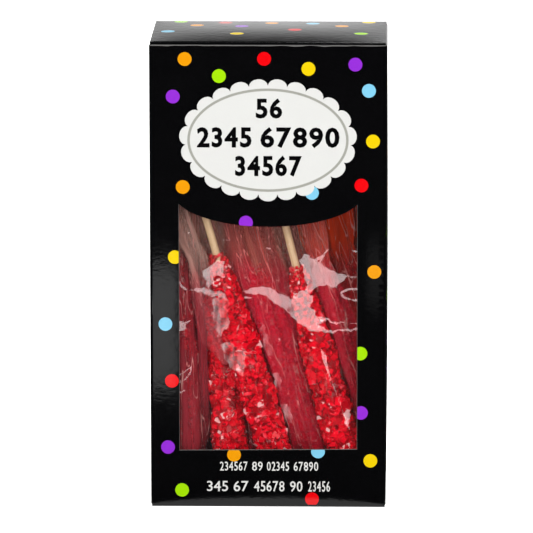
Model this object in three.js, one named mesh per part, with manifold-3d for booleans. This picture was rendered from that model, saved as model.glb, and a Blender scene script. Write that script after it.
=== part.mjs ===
// Tall folding carton with a window, packed with rock candy sticks that are each sealed in clear film.
// Millimetres, +Z up, the window towards -Y, the origin in the middle of the carton's base.
import * as THREE from 'three';
import { mergeVertices } from 'three/addons/utils/BufferGeometryUtils.js';
import Module from 'manifold-3d';

const wasm = await Module();
wasm.setup();

// Carton: four walls from one blank, a lid hinged at the back and a base hinged at the front.
const cartonWidth = 101.6;
const cartonDepth = 63.5;
const cartonHeight = 203.2;
const board = 0.5;
const clearance = 0.3;
const creaseRadius = 1.2;
const tuckFoldRadius = 1;
const lidInset = 0.4;
const rawEdgeDrop = 1;
const tuckLength = 16;
const tuckInset = 2;
const tuckCornerRadius = 8;
const dustFlapLength = 36;
const dustFlapTaper = 5;
const glueFlapWidth = 14;
const glueFlapMargin = 18;
const foldSteps = 5;
const cornerSteps = 5;

// Window: straight sill and sides, and a top edge that sags in an elliptic arc.
const windowHalfWidth = 38.4;
const windowSill = 25.4;
const windowArcLowest = 123.6;
const windowArcHalfWidth = 40.9;
const windowArcDrop = 15;
const windowArcSteps = 28;
const windowFilm = 0.2;
const windowFilmMargin = 7;

// Wrapped stick: a tapered crust of crystals on a dowel, inside a sealed film sleeve.
const sleeveLength = 178;
const sealHeight = 6;
const sealHalfThickness = 0.4;
const sealHalfWidth = 7.8;
const sealMouthHeight = 1;
const sealMouthHalfThickness = 0.6;
const dowelRadius = 1.7;
const neckMargin = 2.3;
const neckHalfDepth = 3.2;
const neckHeight = 8;
const sleeveHalfWidth = 6.8;
const sleeveHalfDepth = 2.7;
const sleeveNeckShare = 0.85;
const sleeveTopShare = 0.9;
const candyLength = 100;
const candyHalfWidth = 9;
const candyHalfDepth = 7;
const lumpDepth = 0.09;
const stickSides = 12;
const footClearance = 1;

// Crust from foot to tip: height as a share of the candy's length, girth as a share of its fullest.
const crustOutline = [
  [0.03, 0.66],
  [0.1, 0.9],
  [0.2, 1],
  [0.31, 0.95],
  [0.42, 1],
  [0.53, 0.92],
  [0.64, 0.93],
  [0.74, 0.82],
  [0.84, 0.74],
  [0.92, 0.6],
];

// Lumps of crystal: two waves round the stick that twist with height and differ from stick to stick.
const broadLump = { waves: 2, twist: 0.21, shift: 1 };
const fineLump = { waves: 3, twist: -0.33, shift: 2.3 };
const phaseStep = 1.7;

// Rows of sticks from the window to the back wall, each row with its own depth in the carton.
const rowSpacing = 15.2;
const frontRowDepth = -23.1;
const stickRows = [
  [
    { foot: -37, lean: 1.5, tilt: 2.5, spin: 4, girth: 0.96 },
    { foot: -15.2, lean: 4.5, tilt: 9, spin: -6, girth: 0.97 },
    { foot: 7.9, lean: 16, tilt: -0.5, spin: 3, girth: 0.98, candy: 104 },
    { foot: 37.8, lean: 14.5, spin: -4, girth: 1, candy: 98 },
  ],
  [
    { foot: -39.3, lean: 1, tilt: 1.5, spin: -5, girth: 0.94 },
    { foot: 23.6, lean: 17, spin: 5, girth: 0.94, candy: 96 },
    { foot: 41, lean: 11, spin: -3, girth: 0.94 },
  ],
  [
    { foot: -37, lean: 1.8, spin: 6, girth: 0.95 },
    { foot: -17.2, lean: 2.2, spin: -7, girth: 0.97 },
    { foot: 2.4, lean: 2.6, spin: 2, girth: 0.96 },
    { foot: 21.6, lean: 3, spin: 8, girth: 0.94 },
    { foot: 40.7, lean: 3.4, spin: -2, girth: 0.96 },
  ],
  [
    { foot: -41.2, lean: 0.5, spin: 3, girth: 0.87 },
    { foot: -24.8, lean: 1, spin: -4, girth: 0.87 },
    { foot: -8.3, lean: 0.5, spin: 5, girth: 0.87 },
    { foot: 8.3, lean: 1, spin: -3, girth: 0.87 },
    { foot: 24.8, lean: 0.5, spin: 4, girth: 0.87 },
    { foot: 41.2, lean: 0.5, spin: -5, girth: 0.87 },
  ],
];

const halfWidth = cartonWidth / 2;
const halfDepth = cartonDepth / 2;
const dustFlapLayer = board + clearance;
const tuckFace = board + clearance;

const cartonMaterial = new THREE.MeshStandardMaterial({ color: 0x0a0a0c, roughness: 0.22, metalness: 0 });
const windowMaterial = new THREE.MeshStandardMaterial({
  color: 0xf4f6f8,
  roughness: 0.05,
  metalness: 0,
  transparent: true,
  opacity: 0.15,
});
const candyMaterial = new THREE.MeshStandardMaterial({ color: 0xc3121f, roughness: 0.15, metalness: 0 });

function toSolid(geometry) {
  geometry.deleteAttribute('normal');
  geometry.deleteAttribute('uv');
  const merged = mergeVertices(geometry, 1e-4);
  return new wasm.Manifold(new wasm.Mesh({
    numProp: 3,
    vertProperties: new Float32Array(merged.attributes.position.array),
    triVerts: new Uint32Array(merged.index.array),
  }));
}

function toGeometry(solid) {
  const mesh = solid.getMesh();
  const geometry = new THREE.BufferGeometry();
  geometry.setAttribute('position', new THREE.BufferAttribute(mesh.vertProperties, mesh.numProp));
  geometry.setIndex(new THREE.BufferAttribute(mesh.triVerts, 1));
  geometry.computeVertexNormals();
  return geometry;
}

function join(solids) {
  return solids.reduce((whole, solid) => whole.add(solid));
}

function extruded(shape, depth) {
  return new THREE.ExtrudeGeometry(shape, { depth, bevelEnabled: false, curveSegments: cornerSteps });
}

// A shape drawn in plan, raised from low to high.
function raised(shape, low, high) {
  return toSolid(extruded(shape, high - low).translate(0, 0, low));
}

// A shape drawn in Y and Z, run along X from left to right.
function runAcross(shape, left, right) {
  const turn = new THREE.Matrix4().makeBasis(
    new THREE.Vector3(0, 1, 0),
    new THREE.Vector3(0, 0, 1),
    new THREE.Vector3(1, 0, 0),
  );
  return toSolid(extruded(shape, right - left).applyMatrix4(turn).translate(left, 0, 0));
}

// A shape drawn in X and Z, run along Y from front to back.
function runDeep(shape, front, back) {
  const turn = new THREE.Matrix4().makeBasis(
    new THREE.Vector3(1, 0, 0),
    new THREE.Vector3(0, 0, 1),
    new THREE.Vector3(0, -1, 0),
  );
  return toSolid(extruded(shape, back - front).applyMatrix4(turn).translate(0, back, 0));
}

function rectangle(left, bottom, right, top) {
  return new THREE.Shape([
    new THREE.Vector2(left, bottom),
    new THREE.Vector2(right, bottom),
    new THREE.Vector2(right, top),
    new THREE.Vector2(left, top),
  ]);
}

function roundedRectangle(width, depth, radius) {
  const shape = new THREE.Shape();
  const x = width / 2 - radius;
  const y = depth / 2 - radius;
  shape.moveTo(x, -y - radius);
  shape.absarc(x, -y, radius, -Math.PI / 2, 0);
  shape.absarc(x, y, radius, 0, Math.PI / 2);
  shape.absarc(-x, y, radius, Math.PI / 2, Math.PI);
  shape.absarc(-x, -y, radius, Math.PI, Math.PI * 1.5);
  return shape;
}

// The section of board that runs from one point to the next round a fold of the given outer radius.
function foldedStrip(start, corner, end, outerRadius) {
  const back = start.clone().sub(corner).normalize();
  const ahead = end.clone().sub(corner).normalize();
  const centre = corner.clone().addScaledVector(back, outerRadius).addScaledVector(ahead, outerRadius);
  const outer = [start.clone()];
  const inner = [start.clone().addScaledVector(ahead, board)];
  for (let step = 0; step <= foldSteps; step += 1) {
    const angle = (step / foldSteps) * Math.PI / 2;
    const spoke = ahead.clone().multiplyScalar(-Math.cos(angle)).addScaledVector(back, -Math.sin(angle));
    outer.push(centre.clone().addScaledVector(spoke, outerRadius));
    inner.push(centre.clone().addScaledVector(spoke, outerRadius - board));
  }
  outer.push(end.clone());
  inner.push(end.clone().addScaledVector(back, board));
  const outline = outer.concat(inner.reverse());
  if (THREE.ShapeUtils.isClockWise(outline)) {
    outline.reverse();
  }
  return new THREE.Shape(outline);
}

function wallTube() {
  const shape = roundedRectangle(cartonWidth, cartonDepth, creaseRadius);
  shape.holes.push(roundedRectangle(cartonWidth - 2 * board, cartonDepth - 2 * board, creaseRadius - board));
  return raised(shape, rawEdgeDrop, cartonHeight - rawEdgeDrop);
}

function windowShape() {
  const shape = new THREE.Shape();
  const reach = Math.asin(windowHalfWidth / windowArcHalfWidth);
  const arcCentre = windowArcLowest + windowArcDrop;
  shape.moveTo(-windowHalfWidth, windowSill);
  shape.lineTo(windowHalfWidth, windowSill);
  for (let step = 0; step <= windowArcSteps; step += 1) {
    const angle = reach * (1 - (2 * step) / windowArcSteps);
    shape.lineTo(windowArcHalfWidth * Math.sin(angle), arcCentre - windowArcDrop * Math.cos(angle));
  }
  return shape;
}

// The side walls end early at top and bottom, where the dust flaps fold in under lid and over base.
function sideWallNotches() {
  const fold = dustFlapLayer + creaseRadius;
  const front = -halfDepth + tuckFace + board + tuckFoldRadius;
  const back = halfDepth - creaseRadius - clearance;
  const above = rectangle(-cartonWidth, cartonHeight - fold, cartonWidth, cartonHeight + board);
  const below = rectangle(-cartonWidth, -board, cartonWidth, fold);
  return runDeep(above, front, back).add(runDeep(below, -back, -front));
}

function dustFlap(side, atTop) {
  const level = (height) => (atTop ? cartonHeight - height : height);
  const wall = side * halfWidth;
  const hinge = new THREE.Vector2(wall, level(dustFlapLayer + creaseRadius + board));
  const corner = new THREE.Vector2(wall, level(dustFlapLayer));
  const inner = new THREE.Vector2(wall - side * (creaseRadius + board), level(dustFlapLayer));
  const front = -halfDepth + tuckFace + board + tuckFoldRadius;
  const back = halfDepth - creaseRadius - clearance;
  const nearEnd = atTop ? front : -back;
  const farEnd = atTop ? back : -front;
  const fold = runDeep(foldedStrip(hinge, corner, inner, creaseRadius), nearEnd, farEnd);
  const plan = [
    new THREE.Vector2(wall - side * creaseRadius, nearEnd),
    new THREE.Vector2(wall - side * dustFlapLength, nearEnd + dustFlapTaper),
    new THREE.Vector2(wall - side * dustFlapLength, farEnd - dustFlapTaper),
    new THREE.Vector2(wall - side * creaseRadius, farEnd),
  ];
  if (THREE.ShapeUtils.isClockWise(plan)) {
    plan.reverse();
  }
  const levels = [level(dustFlapLayer), level(dustFlapLayer + board)].sort((a, b) => a - b);
  return fold.add(raised(new THREE.Shape(plan), levels[0], levels[1]));
}

// A panel across the carton's end: hinged to one wall, and folded in behind the opposite wall.
function endPanel(atTop) {
  const level = (height) => (atTop ? cartonHeight - height : height);
  const away = atTop ? 1 : -1;
  const hinge = new THREE.Vector2(away * halfDepth, level(creaseRadius + rawEdgeDrop));
  const hingeCorner = new THREE.Vector2(away * halfDepth, level(0));
  const middle = new THREE.Vector2(0, level(0));
  const tuckCorner = new THREE.Vector2(-away * (halfDepth - tuckFace), level(0));
  const tuckStart = new THREE.Vector2(-away * (halfDepth - tuckFace), level(tuckFoldRadius + board));
  const left = -halfWidth + lidInset;
  const right = halfWidth - lidInset;
  return join([
    runAcross(foldedStrip(hinge, hingeCorner, middle, creaseRadius), left, right),
    runAcross(foldedStrip(middle, tuckCorner, tuckStart, tuckFoldRadius), left, right),
    tuckFlap(atTop),
  ]);
}

function tuckFlap(atTop) {
  const reach = halfWidth - tuckInset;
  const root = tuckFoldRadius;
  const radius = tuckCornerRadius;
  const flip = atTop ? -1 : 1;
  const base = atTop ? cartonHeight : 0;
  const shape = new THREE.Shape();
  shape.moveTo(-reach, base + flip * root);
  shape.lineTo(reach, base + flip * root);
  shape.lineTo(reach, base + flip * (tuckLength - radius));
  shape.quadraticCurveTo(reach, base + flip * tuckLength, reach - radius, base + flip * tuckLength);
  shape.lineTo(radius - reach, base + flip * tuckLength);
  shape.quadraticCurveTo(-reach, base + flip * tuckLength, -reach, base + flip * (tuckLength - radius));
  const outer = halfDepth - tuckFace;
  return atTop ? runDeep(shape, -outer, board - outer) : runDeep(shape, outer - board, outer);
}

function glueFlap() {
  const inner = halfWidth - board;
  const shape = rectangle(inner - glueFlapWidth, glueFlapMargin, inner, cartonHeight - glueFlapMargin);
  return runDeep(shape, halfDepth - 2 * board, halfDepth - board / 2);
}

function makeCarton() {
  const windowCut = runDeep(windowShape(), -halfDepth - board, -halfDepth + 2 * board);
  const walls = wallTube().subtract(windowCut).subtract(sideWallNotches());
  const flaps = [-1, 1].flatMap((side) => [dustFlap(side, true), dustFlap(side, false)]);
  const carton = join([walls, glueFlap(), endPanel(true), endPanel(false), ...flaps]);
  const mesh = new THREE.Mesh(toGeometry(carton), cartonMaterial);
  mesh.name = 'carton';
  return mesh;
}

// The clear sheet is larger than the window all round and lies just behind the front wall.
function makeWindowFilm() {
  const width = 2 * (windowHalfWidth + windowFilmMargin);
  const low = windowSill - windowFilmMargin;
  const high = windowArcLowest + windowArcDrop + windowFilmMargin;
  const mesh = new THREE.Mesh(new THREE.BoxGeometry(width, windowFilm, high - low), windowMaterial);
  mesh.position.set(0, -halfDepth + board + clearance + windowFilm / 2, (low + high) / 2);
  mesh.name = 'window_film';
  return mesh;
}

// Half width and half depth of a wrapped stick at the heights where its outline turns.
function stickStations(candy, girth) {
  const wide = candyHalfWidth * girth;
  const deep = candyHalfDepth * girth;
  const foot = sealHeight;
  const neck = foot + candy;
  const crust = ([share, part]) => [foot + candy * share, wide * part, deep * part, lumpDepth];
  return [
    [0, sealHalfWidth, sealHalfThickness, 0],
    [foot - sealMouthHeight, sealHalfWidth, sealMouthHalfThickness, 0],
    ...crustOutline.map(crust),
    [neck, dowelRadius + neckMargin, neckHalfDepth, 0],
    [neck + neckHeight, sleeveHalfWidth * sleeveNeckShare, sleeveHalfDepth, 0],
    [(neck + sleeveLength) / 2, sleeveHalfWidth, sleeveHalfDepth, 0],
    [sleeveLength - 2 * sealHeight, sleeveHalfWidth, sleeveHalfDepth * sleeveTopShare, 0],
    [sleeveLength - sealHeight, sleeveHalfWidth, sealMouthHalfThickness, 0],
    [sleeveLength, sleeveHalfWidth, sealHalfThickness, 0],
  ];
}

function lump(angle, height, phase) {
  const wave = ({ waves, twist, shift }) => Math.sin(waves * angle + twist * height + shift * phase);
  return (wave(broadLump) + wave(fineLump)) / 2;
}

function stickGeometry(candy, girth, phase) {
  const stations = stickStations(candy, girth);
  const positions = [];
  const index = [];
  for (const [height, wide, deep, roughness] of stations) {
    for (let side = 0; side < stickSides; side += 1) {
      const angle = (side / stickSides) * 2 * Math.PI;
      const swell = 1 - roughness + roughness * lump(angle, height, phase);
      positions.push(wide * swell * Math.cos(angle), deep * swell * Math.sin(angle), height);
    }
  }
  const ring = (station, side) => station * stickSides + (side % stickSides);
  for (let station = 0; station + 1 < stations.length; station += 1) {
    for (let side = 0; side < stickSides; side += 1) {
      index.push(ring(station, side), ring(station, side + 1), ring(station + 1, side + 1));
      index.push(ring(station, side), ring(station + 1, side + 1), ring(station + 1, side));
    }
  }
  const top = stations.length - 1;
  for (let side = 1; side + 1 < stickSides; side += 1) {
    index.push(ring(0, 0), ring(0, side + 1), ring(0, side));
    index.push(ring(top, 0), ring(top, side), ring(top, side + 1));
  }
  const geometry = new THREE.BufferGeometry();
  geometry.setAttribute('position', new THREE.Float32BufferAttribute(positions, 3));
  geometry.setIndex(index);
  geometry.computeVertexNormals();
  return geometry;
}

function makeStick(place, rowDepth, number) {
  const { foot, lean, tilt = 0, spin, girth, candy = candyLength } = place;
  const radians = THREE.MathUtils.degToRad;
  const mesh = new THREE.Mesh(stickGeometry(candy, girth, number * phaseStep), candyMaterial);
  const lift = board + dustFlapLayer + footClearance + sealHalfWidth * Math.sin(radians(lean));
  mesh.position.set(foot, rowDepth, lift);
  mesh.rotation.set(-radians(tilt), -radians(lean), radians(spin));
  mesh.name = `wrapped_stick_${String(number).padStart(2, '0')}`;
  return mesh;
}

function makeSticks() {
  const group = new THREE.Group();
  let number = 1;
  stickRows.forEach((row, rowIndex) => {
    const rowDepth = frontRowDepth + rowIndex * rowSpacing;
    for (const place of row) {
      group.add(makeStick(place, rowDepth, number));
      number += 1;
    }
  });
  return group;
}

const pack = new THREE.Group();
pack.add(makeCarton(), makeWindowFilm(), makeSticks());

export default pack;
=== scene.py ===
import math
import random

import bmesh
import bpy
import numpy as np
from mathutils import Matrix, Vector, geometry, noise


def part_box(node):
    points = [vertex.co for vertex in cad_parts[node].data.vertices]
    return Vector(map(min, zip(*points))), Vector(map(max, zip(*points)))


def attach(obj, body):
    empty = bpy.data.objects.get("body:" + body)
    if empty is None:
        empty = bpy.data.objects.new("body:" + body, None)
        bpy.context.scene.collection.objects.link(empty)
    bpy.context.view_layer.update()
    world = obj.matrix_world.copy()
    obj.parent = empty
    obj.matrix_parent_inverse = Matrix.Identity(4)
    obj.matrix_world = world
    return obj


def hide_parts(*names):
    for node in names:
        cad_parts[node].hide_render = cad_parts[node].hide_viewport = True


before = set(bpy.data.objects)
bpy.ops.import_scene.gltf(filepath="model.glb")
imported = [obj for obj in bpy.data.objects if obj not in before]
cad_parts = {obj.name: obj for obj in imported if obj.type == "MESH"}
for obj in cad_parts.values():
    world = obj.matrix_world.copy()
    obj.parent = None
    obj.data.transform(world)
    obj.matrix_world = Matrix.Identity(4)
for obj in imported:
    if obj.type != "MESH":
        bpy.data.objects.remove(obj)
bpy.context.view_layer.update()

mm = 0.001     # sizes and places are in mm unless a note says otherwise


# sRGB bytes to the linear colour that shaders use
def linear(red, green, blue):
    def channel(value):
        share = value / 255
        return share / 12.92 if share <= 0.04045 else ((share + 0.055) / 1.055) ** 2.4
    return channel(red), channel(green), channel(blue), 1.0


# camera: the photograph's side, a long lens a little above the lid
camera = {
    "place": (59.4, -2400, 574.1),
    "pitch": 11.173,                 # degrees down
    "yaw": 1.453,                    # degrees to the left
    "roll": -0.062,
    "focal": 5625.8,                 # in pixels of the 533 pixel frame
    "frame": 533,
}


def makeCamera():
    data = bpy.data.cameras.new("camera")
    data.sensor_width = 36
    data.lens = camera["focal"] / camera["frame"] * data.sensor_width
    data.clip_start = 0.05
    data.clip_end = 20
    pitch, yaw, roll = (math.radians(camera[key]) for key in ("pitch", "yaw", "roll"))
    ahead = Vector((-math.sin(yaw) * math.cos(pitch), math.cos(yaw) * math.cos(pitch), -math.sin(pitch)))
    right = Vector((math.cos(yaw), math.sin(yaw), 0))
    up = right.cross(ahead)
    rolledRight = right * math.cos(roll) + up * math.sin(roll)
    rolledUp = up * math.cos(roll) - right * math.sin(roll)
    turn = Matrix((rolledRight, rolledUp, -ahead)).transposed().to_4x4()
    body = bpy.data.objects.new("camera", data)
    body.matrix_world = Matrix.Translation(Vector(camera["place"]) * mm) @ turn
    bpy.context.scene.collection.objects.link(body)
    bpy.context.scene.camera = body


makeCamera()
print("camera placed")


# node helpers
def newMaterial(name):
    material = bpy.data.materials.new(name)
    material.use_nodes = True
    material.node_tree.nodes.clear()
    return material


def addNode(tree, kind, **values):
    node = tree.nodes.new(kind)
    for key, value in values.items():
        setattr(node, key, value)
    return node


def feed(tree, source, target):
    tree.links.new(source, target)


def principled(tree, **sockets):
    shader = addNode(tree, "ShaderNodeBsdfPrincipled")
    for key, value in sockets.items():
        shader.inputs[key.replace("_", " ")].default_value = value
    output = addNode(tree, "ShaderNodeOutputMaterial")
    feed(tree, shader.outputs["BSDF"], output.inputs["Surface"])
    return shader


def newGroup(name, inputs, outputs):
    group = bpy.data.node_groups.new(name, "ShaderNodeTree")
    for label, kind, value in inputs:
        socket = group.interface.new_socket(label, in_out="INPUT", socket_type=kind)
        socket.default_value = value
    for label, kind in outputs:
        group.interface.new_socket(label, in_out="OUTPUT", socket_type=kind)
    return group, addNode(group, "NodeGroupInput"), addNode(group, "NodeGroupOutput")


# sum, product or the like of sockets and numbers
def combine(tree, operation, *values, clamp=False):
    node = addNode(tree, "ShaderNodeMath", operation=operation, use_clamp=clamp)
    for socket, value in zip(node.inputs, values):
        if isinstance(value, (int, float)):
            socket.default_value = value
        else:
            feed(tree, value, socket)
    return node.outputs[0]


# moves a value from one span to another
def spread(tree, source, start=(0, 1), end=(0, 1), kind="LINEAR"):
    node = addNode(tree, "ShaderNodeMapRange", interpolation_type=kind)
    node.inputs["From Min"].default_value, node.inputs["From Max"].default_value = start
    node.inputs["To Min"].default_value, node.inputs["To Max"].default_value = end
    feed(tree, source, node.inputs["Value"])
    return node.outputs[0]


def shaded(tree, colour, share):
    node = addNode(tree, "ShaderNodeVectorMath", operation="SCALE")
    feed(tree, colour, node.inputs[0])
    feed(tree, share, node.inputs["Scale"])
    return node.outputs[0]


def mixShaders(tree, share, first, second):
    node = addNode(tree, "ShaderNodeMixShader")
    for socket, source in zip(node.inputs, (share, first, second)):
        feed(tree, source, socket)
    return node.outputs[0]


# noise in the object's own metres; stretch squeezes it along chosen axes
def objectNoise(tree, scale, detail=3.0, stretch=None, source=None):
    texture = addNode(tree, "ShaderNodeTexNoise")
    texture.inputs["Detail"].default_value = detail
    source = source or addNode(tree, "ShaderNodeTexCoord").outputs["Object"]
    if stretch:
        mapping = addNode(tree, "ShaderNodeMapping")
        mapping.inputs["Scale"].default_value = stretch
        feed(tree, source, mapping.inputs["Vector"])
        source = mapping.outputs["Vector"]
    feed(tree, source, texture.inputs["Vector"])
    texture.inputs["Scale"].default_value = scale
    return texture


# the place that a mesh had before it was leant into the carton, so that its patterns run along the stick
def uprightPlace(tree):
    return addNode(tree, "ShaderNodeAttribute", attribute_name="uprightPlace").outputs["Vector"]


# printed board
inks = {
    "orange": (219, 143, 0),
    "red": (217, 0, 8),
    "yellow": (221, 190, 0),
    "purple": (134, 41, 193),
    "green": (149, 207, 2),
    "blue": (118, 187, 215),
}
board = {
    "black": (3, 3, 4),
    "badge": (208, 208, 205),
    "ring": (152, 152, 144),
    "roughness": (0.05, 0.16),
    "cloudSize": 90.0,      # patches of roughness per metre
    "ripple": 0.035,        # depth of the varnish ripple, as a bump strength
    "rippleSize": 420.0,    # ripples per metre
    "grain": 0.06,          # how much a flat ink varies
    "grainSize": 2600.0,
    # inside of the board: red-brown, painted red light that the candy throws on the pale bare board
    "inside": (186, 84, 60),
    "cutEdge": (98, 97, 95),
    "rawRoughness": 0.85,
    "rawDark": 0.8,         # share of the colour in the dark fibres
    "rawRelief": (0.2, 0.0003),     # strength and depth in metres
    "fibreSize": 900.0,
}


def makeVarnishGroup():
    group, given, put = newGroup(
        "varnish",
        [
            ("Ink", "NodeSocketColor", (0.5, 0.5, 0.5, 1)),
            ("Grain", "NodeSocketFloat", 0.05),
            ("Ripple", "NodeSocketFloat", 0.03),
            ("Ripple Size", "NodeSocketFloat", 400.0),
        ],
        [("Color", "NodeSocketColor"), ("Roughness", "NodeSocketFloat"), ("Normal", "NodeSocketVector")],
    )
    speckle = objectNoise(group, board["grainSize"], 2)
    shade = combine(group, "MULTIPLY_ADD", speckle.outputs["Fac"], given.outputs["Grain"], 1.0)
    feed(group, shaded(group, given.outputs["Ink"], shade), put.inputs["Color"])
    cloud = objectNoise(group, board["cloudSize"], 2)
    feed(group, spread(group, cloud.outputs["Fac"], end=board["roughness"]), put.inputs["Roughness"])
    fibre = objectNoise(group, 1, 3, stretch=(1, 1, 1.7))
    feed(group, given.outputs["Ripple Size"], fibre.inputs["Scale"])
    bump = addNode(group, "ShaderNodeBump")
    bump.inputs["Distance"].default_value = 0.001
    feed(group, given.outputs["Ripple"], bump.inputs["Strength"])
    feed(group, fibre.outputs["Fac"], bump.inputs["Height"])
    feed(group, bump.outputs["Normal"], put.inputs["Normal"])
    return group


varnish = makeVarnishGroup()


def makeInk(name, colour):
    material = newMaterial(name)
    tree = material.node_tree
    shader = principled(tree, IOR=1.5)
    coat = addNode(tree, "ShaderNodeGroup", node_tree=varnish)
    coat.inputs["Ink"].default_value = linear(*colour)
    coat.inputs["Grain"].default_value = board["grain"]
    coat.inputs["Ripple"].default_value = board["ripple"]
    coat.inputs["Ripple Size"].default_value = board["rippleSize"]
    feed(tree, coat.outputs["Color"], shader.inputs["Base Color"])
    feed(tree, coat.outputs["Roughness"], shader.inputs["Roughness"])
    feed(tree, coat.outputs["Normal"], shader.inputs["Normal"])
    return material


def makeRawBoard(name, colour):
    material = newMaterial(name)
    tree = material.node_tree
    shader = principled(tree, Roughness=board["rawRoughness"])
    fibres = objectNoise(tree, board["fibreSize"], 4, stretch=(1, 1, 3))
    shade = addNode(tree, "ShaderNodeValToRGB")
    light = linear(*colour)
    shade.color_ramp.elements[0].color = tuple(board["rawDark"] * part for part in light[:3]) + (1,)
    shade.color_ramp.elements[1].color = light
    feed(tree, fibres.outputs["Fac"], shade.inputs["Fac"])
    feed(tree, shade.outputs["Color"], shader.inputs["Base Color"])
    bump = addNode(tree, "ShaderNodeBump")
    bump.inputs["Strength"].default_value, bump.inputs["Distance"].default_value = board["rawRelief"]
    feed(tree, fibres.outputs["Fac"], bump.inputs["Height"])
    feed(tree, bump.outputs["Normal"], shader.inputs["Normal"])
    return material


# carton: one sheet of board, cut, printed and folded
carton = {
    "board": 0.5,
    "crease": 1.2,          # outer radius of a fold
    "gap": 0.3,
    "tuckFold": 1.0,
    "lidInset": 0.4,
    "rawEdge": 1.0,         # how far the cut edges at top and bottom stay back
    "rawWave": 0.16,        # unevenness of the front's cut edge
    "rawBevel": 0.45,       # how far the front's cut edge slants down outwards
    "rawPace": (0.35, 0.16),    # of both along the edge, per mm
    "tuck": 16.0,
    "tuckInset": 2.0,
    "tuckStep": 0.5,        # from the fold to where the tuck flap gets narrower
    "tuckCorner": 8.0,
    "cornerSteps": 6,
    "dustFlap": 36.0,
    "dustTaper": 5.0,
    "glueFlap": 14.0,
    "glueMargin": 18.0,
    "glueSlant": 6.0,
    "grid": 3.2,            # spacing of the mesh on the flat panels
    "foldSteps": 5,
    "frontBow": 0.35,
    "sideBow": 0.5,
    "backBow": 0.5,
    "lidBow": 0.5,
}
window = {
    "halfWidth": 38.4,
    "sill": 25.4,
    "sillRise": 0.35,       # the cut runs up a little from left to right
    "bevel": 0.2,           # how far the crushed edge shows from the front
    "arcLowest": 123.6,
    "arcHalfWidth": 40.9,
    "arcDrop": 15.0,
    "steps": 28,
    "spacing": 3.0,         # of the points along the cut
}
badge = {
    "centre": (0, 161.2),
    "half": (38.6, 26.7),     # to the tips of the scallops
    "scallops": 23,
    "scallopDepth": 3.1,
    "scallopSteps": 8,
    "ringHalf": (34.5, 22.4),
    "ringWidth": 1.1,
    "sides": 80,
    # rows of counting digits: foot, height, added weight in heights, then each group's start, end and digits
    "rows": [
        (170.6, 8.6, 0.045, [(-5.2, 6.1, "56")]),
        (158.0, 8.8, 0.045, [(-30.4, -7, "2345"), (-3.2, 30.6, "67890")]),
        (145.6, 8.8, 0.045, [(-14.1, 14.3, "34567")]),
    ],
    "lowRows": [
        (16.2, 4.0, 0.012, [(-20.9, -9, "234567"), (-7, -2.4, "89"), (-0.6, 9, "02345"),
                            (11, 21.6, "67890")]),
        (7.0, 4.6, 0.012, [(-26.5, -17.4, "345"), (-15, -8.6, "67"), (-6.2, 7, "45678"),
                           (9.4, 14.8, "90"), (17.2, 26.7, "23456")]),
    ],
    "digitGap": 0.1,        # between digits, in heights
    "digitSteps": 3,        # in each of a digit's curves
}
dots = {
    "radius": 2.98,
    "sides": 28,
    # ink, x, z on the front
    "front": [
        ("orange", -35.5, 196.2), ("red", -1.6, 196.4), ("yellow", 17.3, 192.1), ("purple", 37.3, 194),
        ("green", -20.9, 188.9), ("blue", 43.1, 182.7), ("purple", -40.6, 180), ("yellow", 44.9, 160.8),
        ("orange", -36.5, 140.8), ("red", 40, 141.7), ("blue", 18.8, 138.4), ("purple", -9.5, 125.4),
        ("yellow", -40, 110.2), ("orange", 45.6, 104), ("blue", -44.2, 80.8), ("green", 39.7, 68.2),
        ("red", -41.5, 55.8), ("purple", 40, 42), ("purple", -43.3, 26.5), ("orange", -14.8, 23.2),
        ("blue", 21.5, 24.8), ("yellow", 44.1, 20.8), ("green", -37.3, 7.5), ("red", 18.9, 3.7),
    ],
    # ink, x, y on the lid
    "lid": [
        ("blue", -43.9, -1.4), ("orange", -31.9, 16), ("yellow", -13.9, -8.3), ("purple", -12.4, 12.9),
        ("red", -19.8, 24.4), ("green", -39.3, 27.5), ("orange", 0.4, 23.1), ("red", 10.8, 2.6),
        ("blue", 18.3, 21.8), ("orange", 31, 14.3), ("green", 39.5, -6.7), ("yellow", 42.6, 26.5),
    ],
    "spacing": 17.0,        # least distance between the dots on the other panels
    "margin": 2.5,          # least distance from a dot to the edge of those panels
    "tries": 900,
    "seed": 7,
}

low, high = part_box("carton")
width, depth, height = ((high - low) / mm)[:]
halfWidth, halfDepth = width / 2, depth / 2
materialOrder = ["black", "badge", "ring"] + list(inks) + ["inside", "cutEdge"]
quarter = math.pi / 2
same = 0.02     # mm within which a point counts as lying on a line
keepFront = carton["board"] * 2 + carton["gap"] + carton["tuckFold"]    # room for the tuck flap
keepBack = carton["crease"] + carton["gap"]
flapLevel = carton["board"] + keepBack      # of the dust flaps' folds, from the carton's ends


# a straight stretch or a quarter turn of the carton's outline, seen from above
class Run:
    def __init__(self, start, heading, length, radius=0.0):
        self.start, self.heading, self.length, self.radius = Vector(start), Vector(heading), length, radius

    def at(self, along):
        normal = Vector((-self.heading.y, self.heading.x))
        if not self.radius:
            return self.start + self.heading * along, normal
        turn = along / self.radius
        centre = self.start - normal * self.radius
        turned = normal * math.cos(turn) + self.heading * math.sin(turn)
        return centre + turned * self.radius, turned


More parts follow.
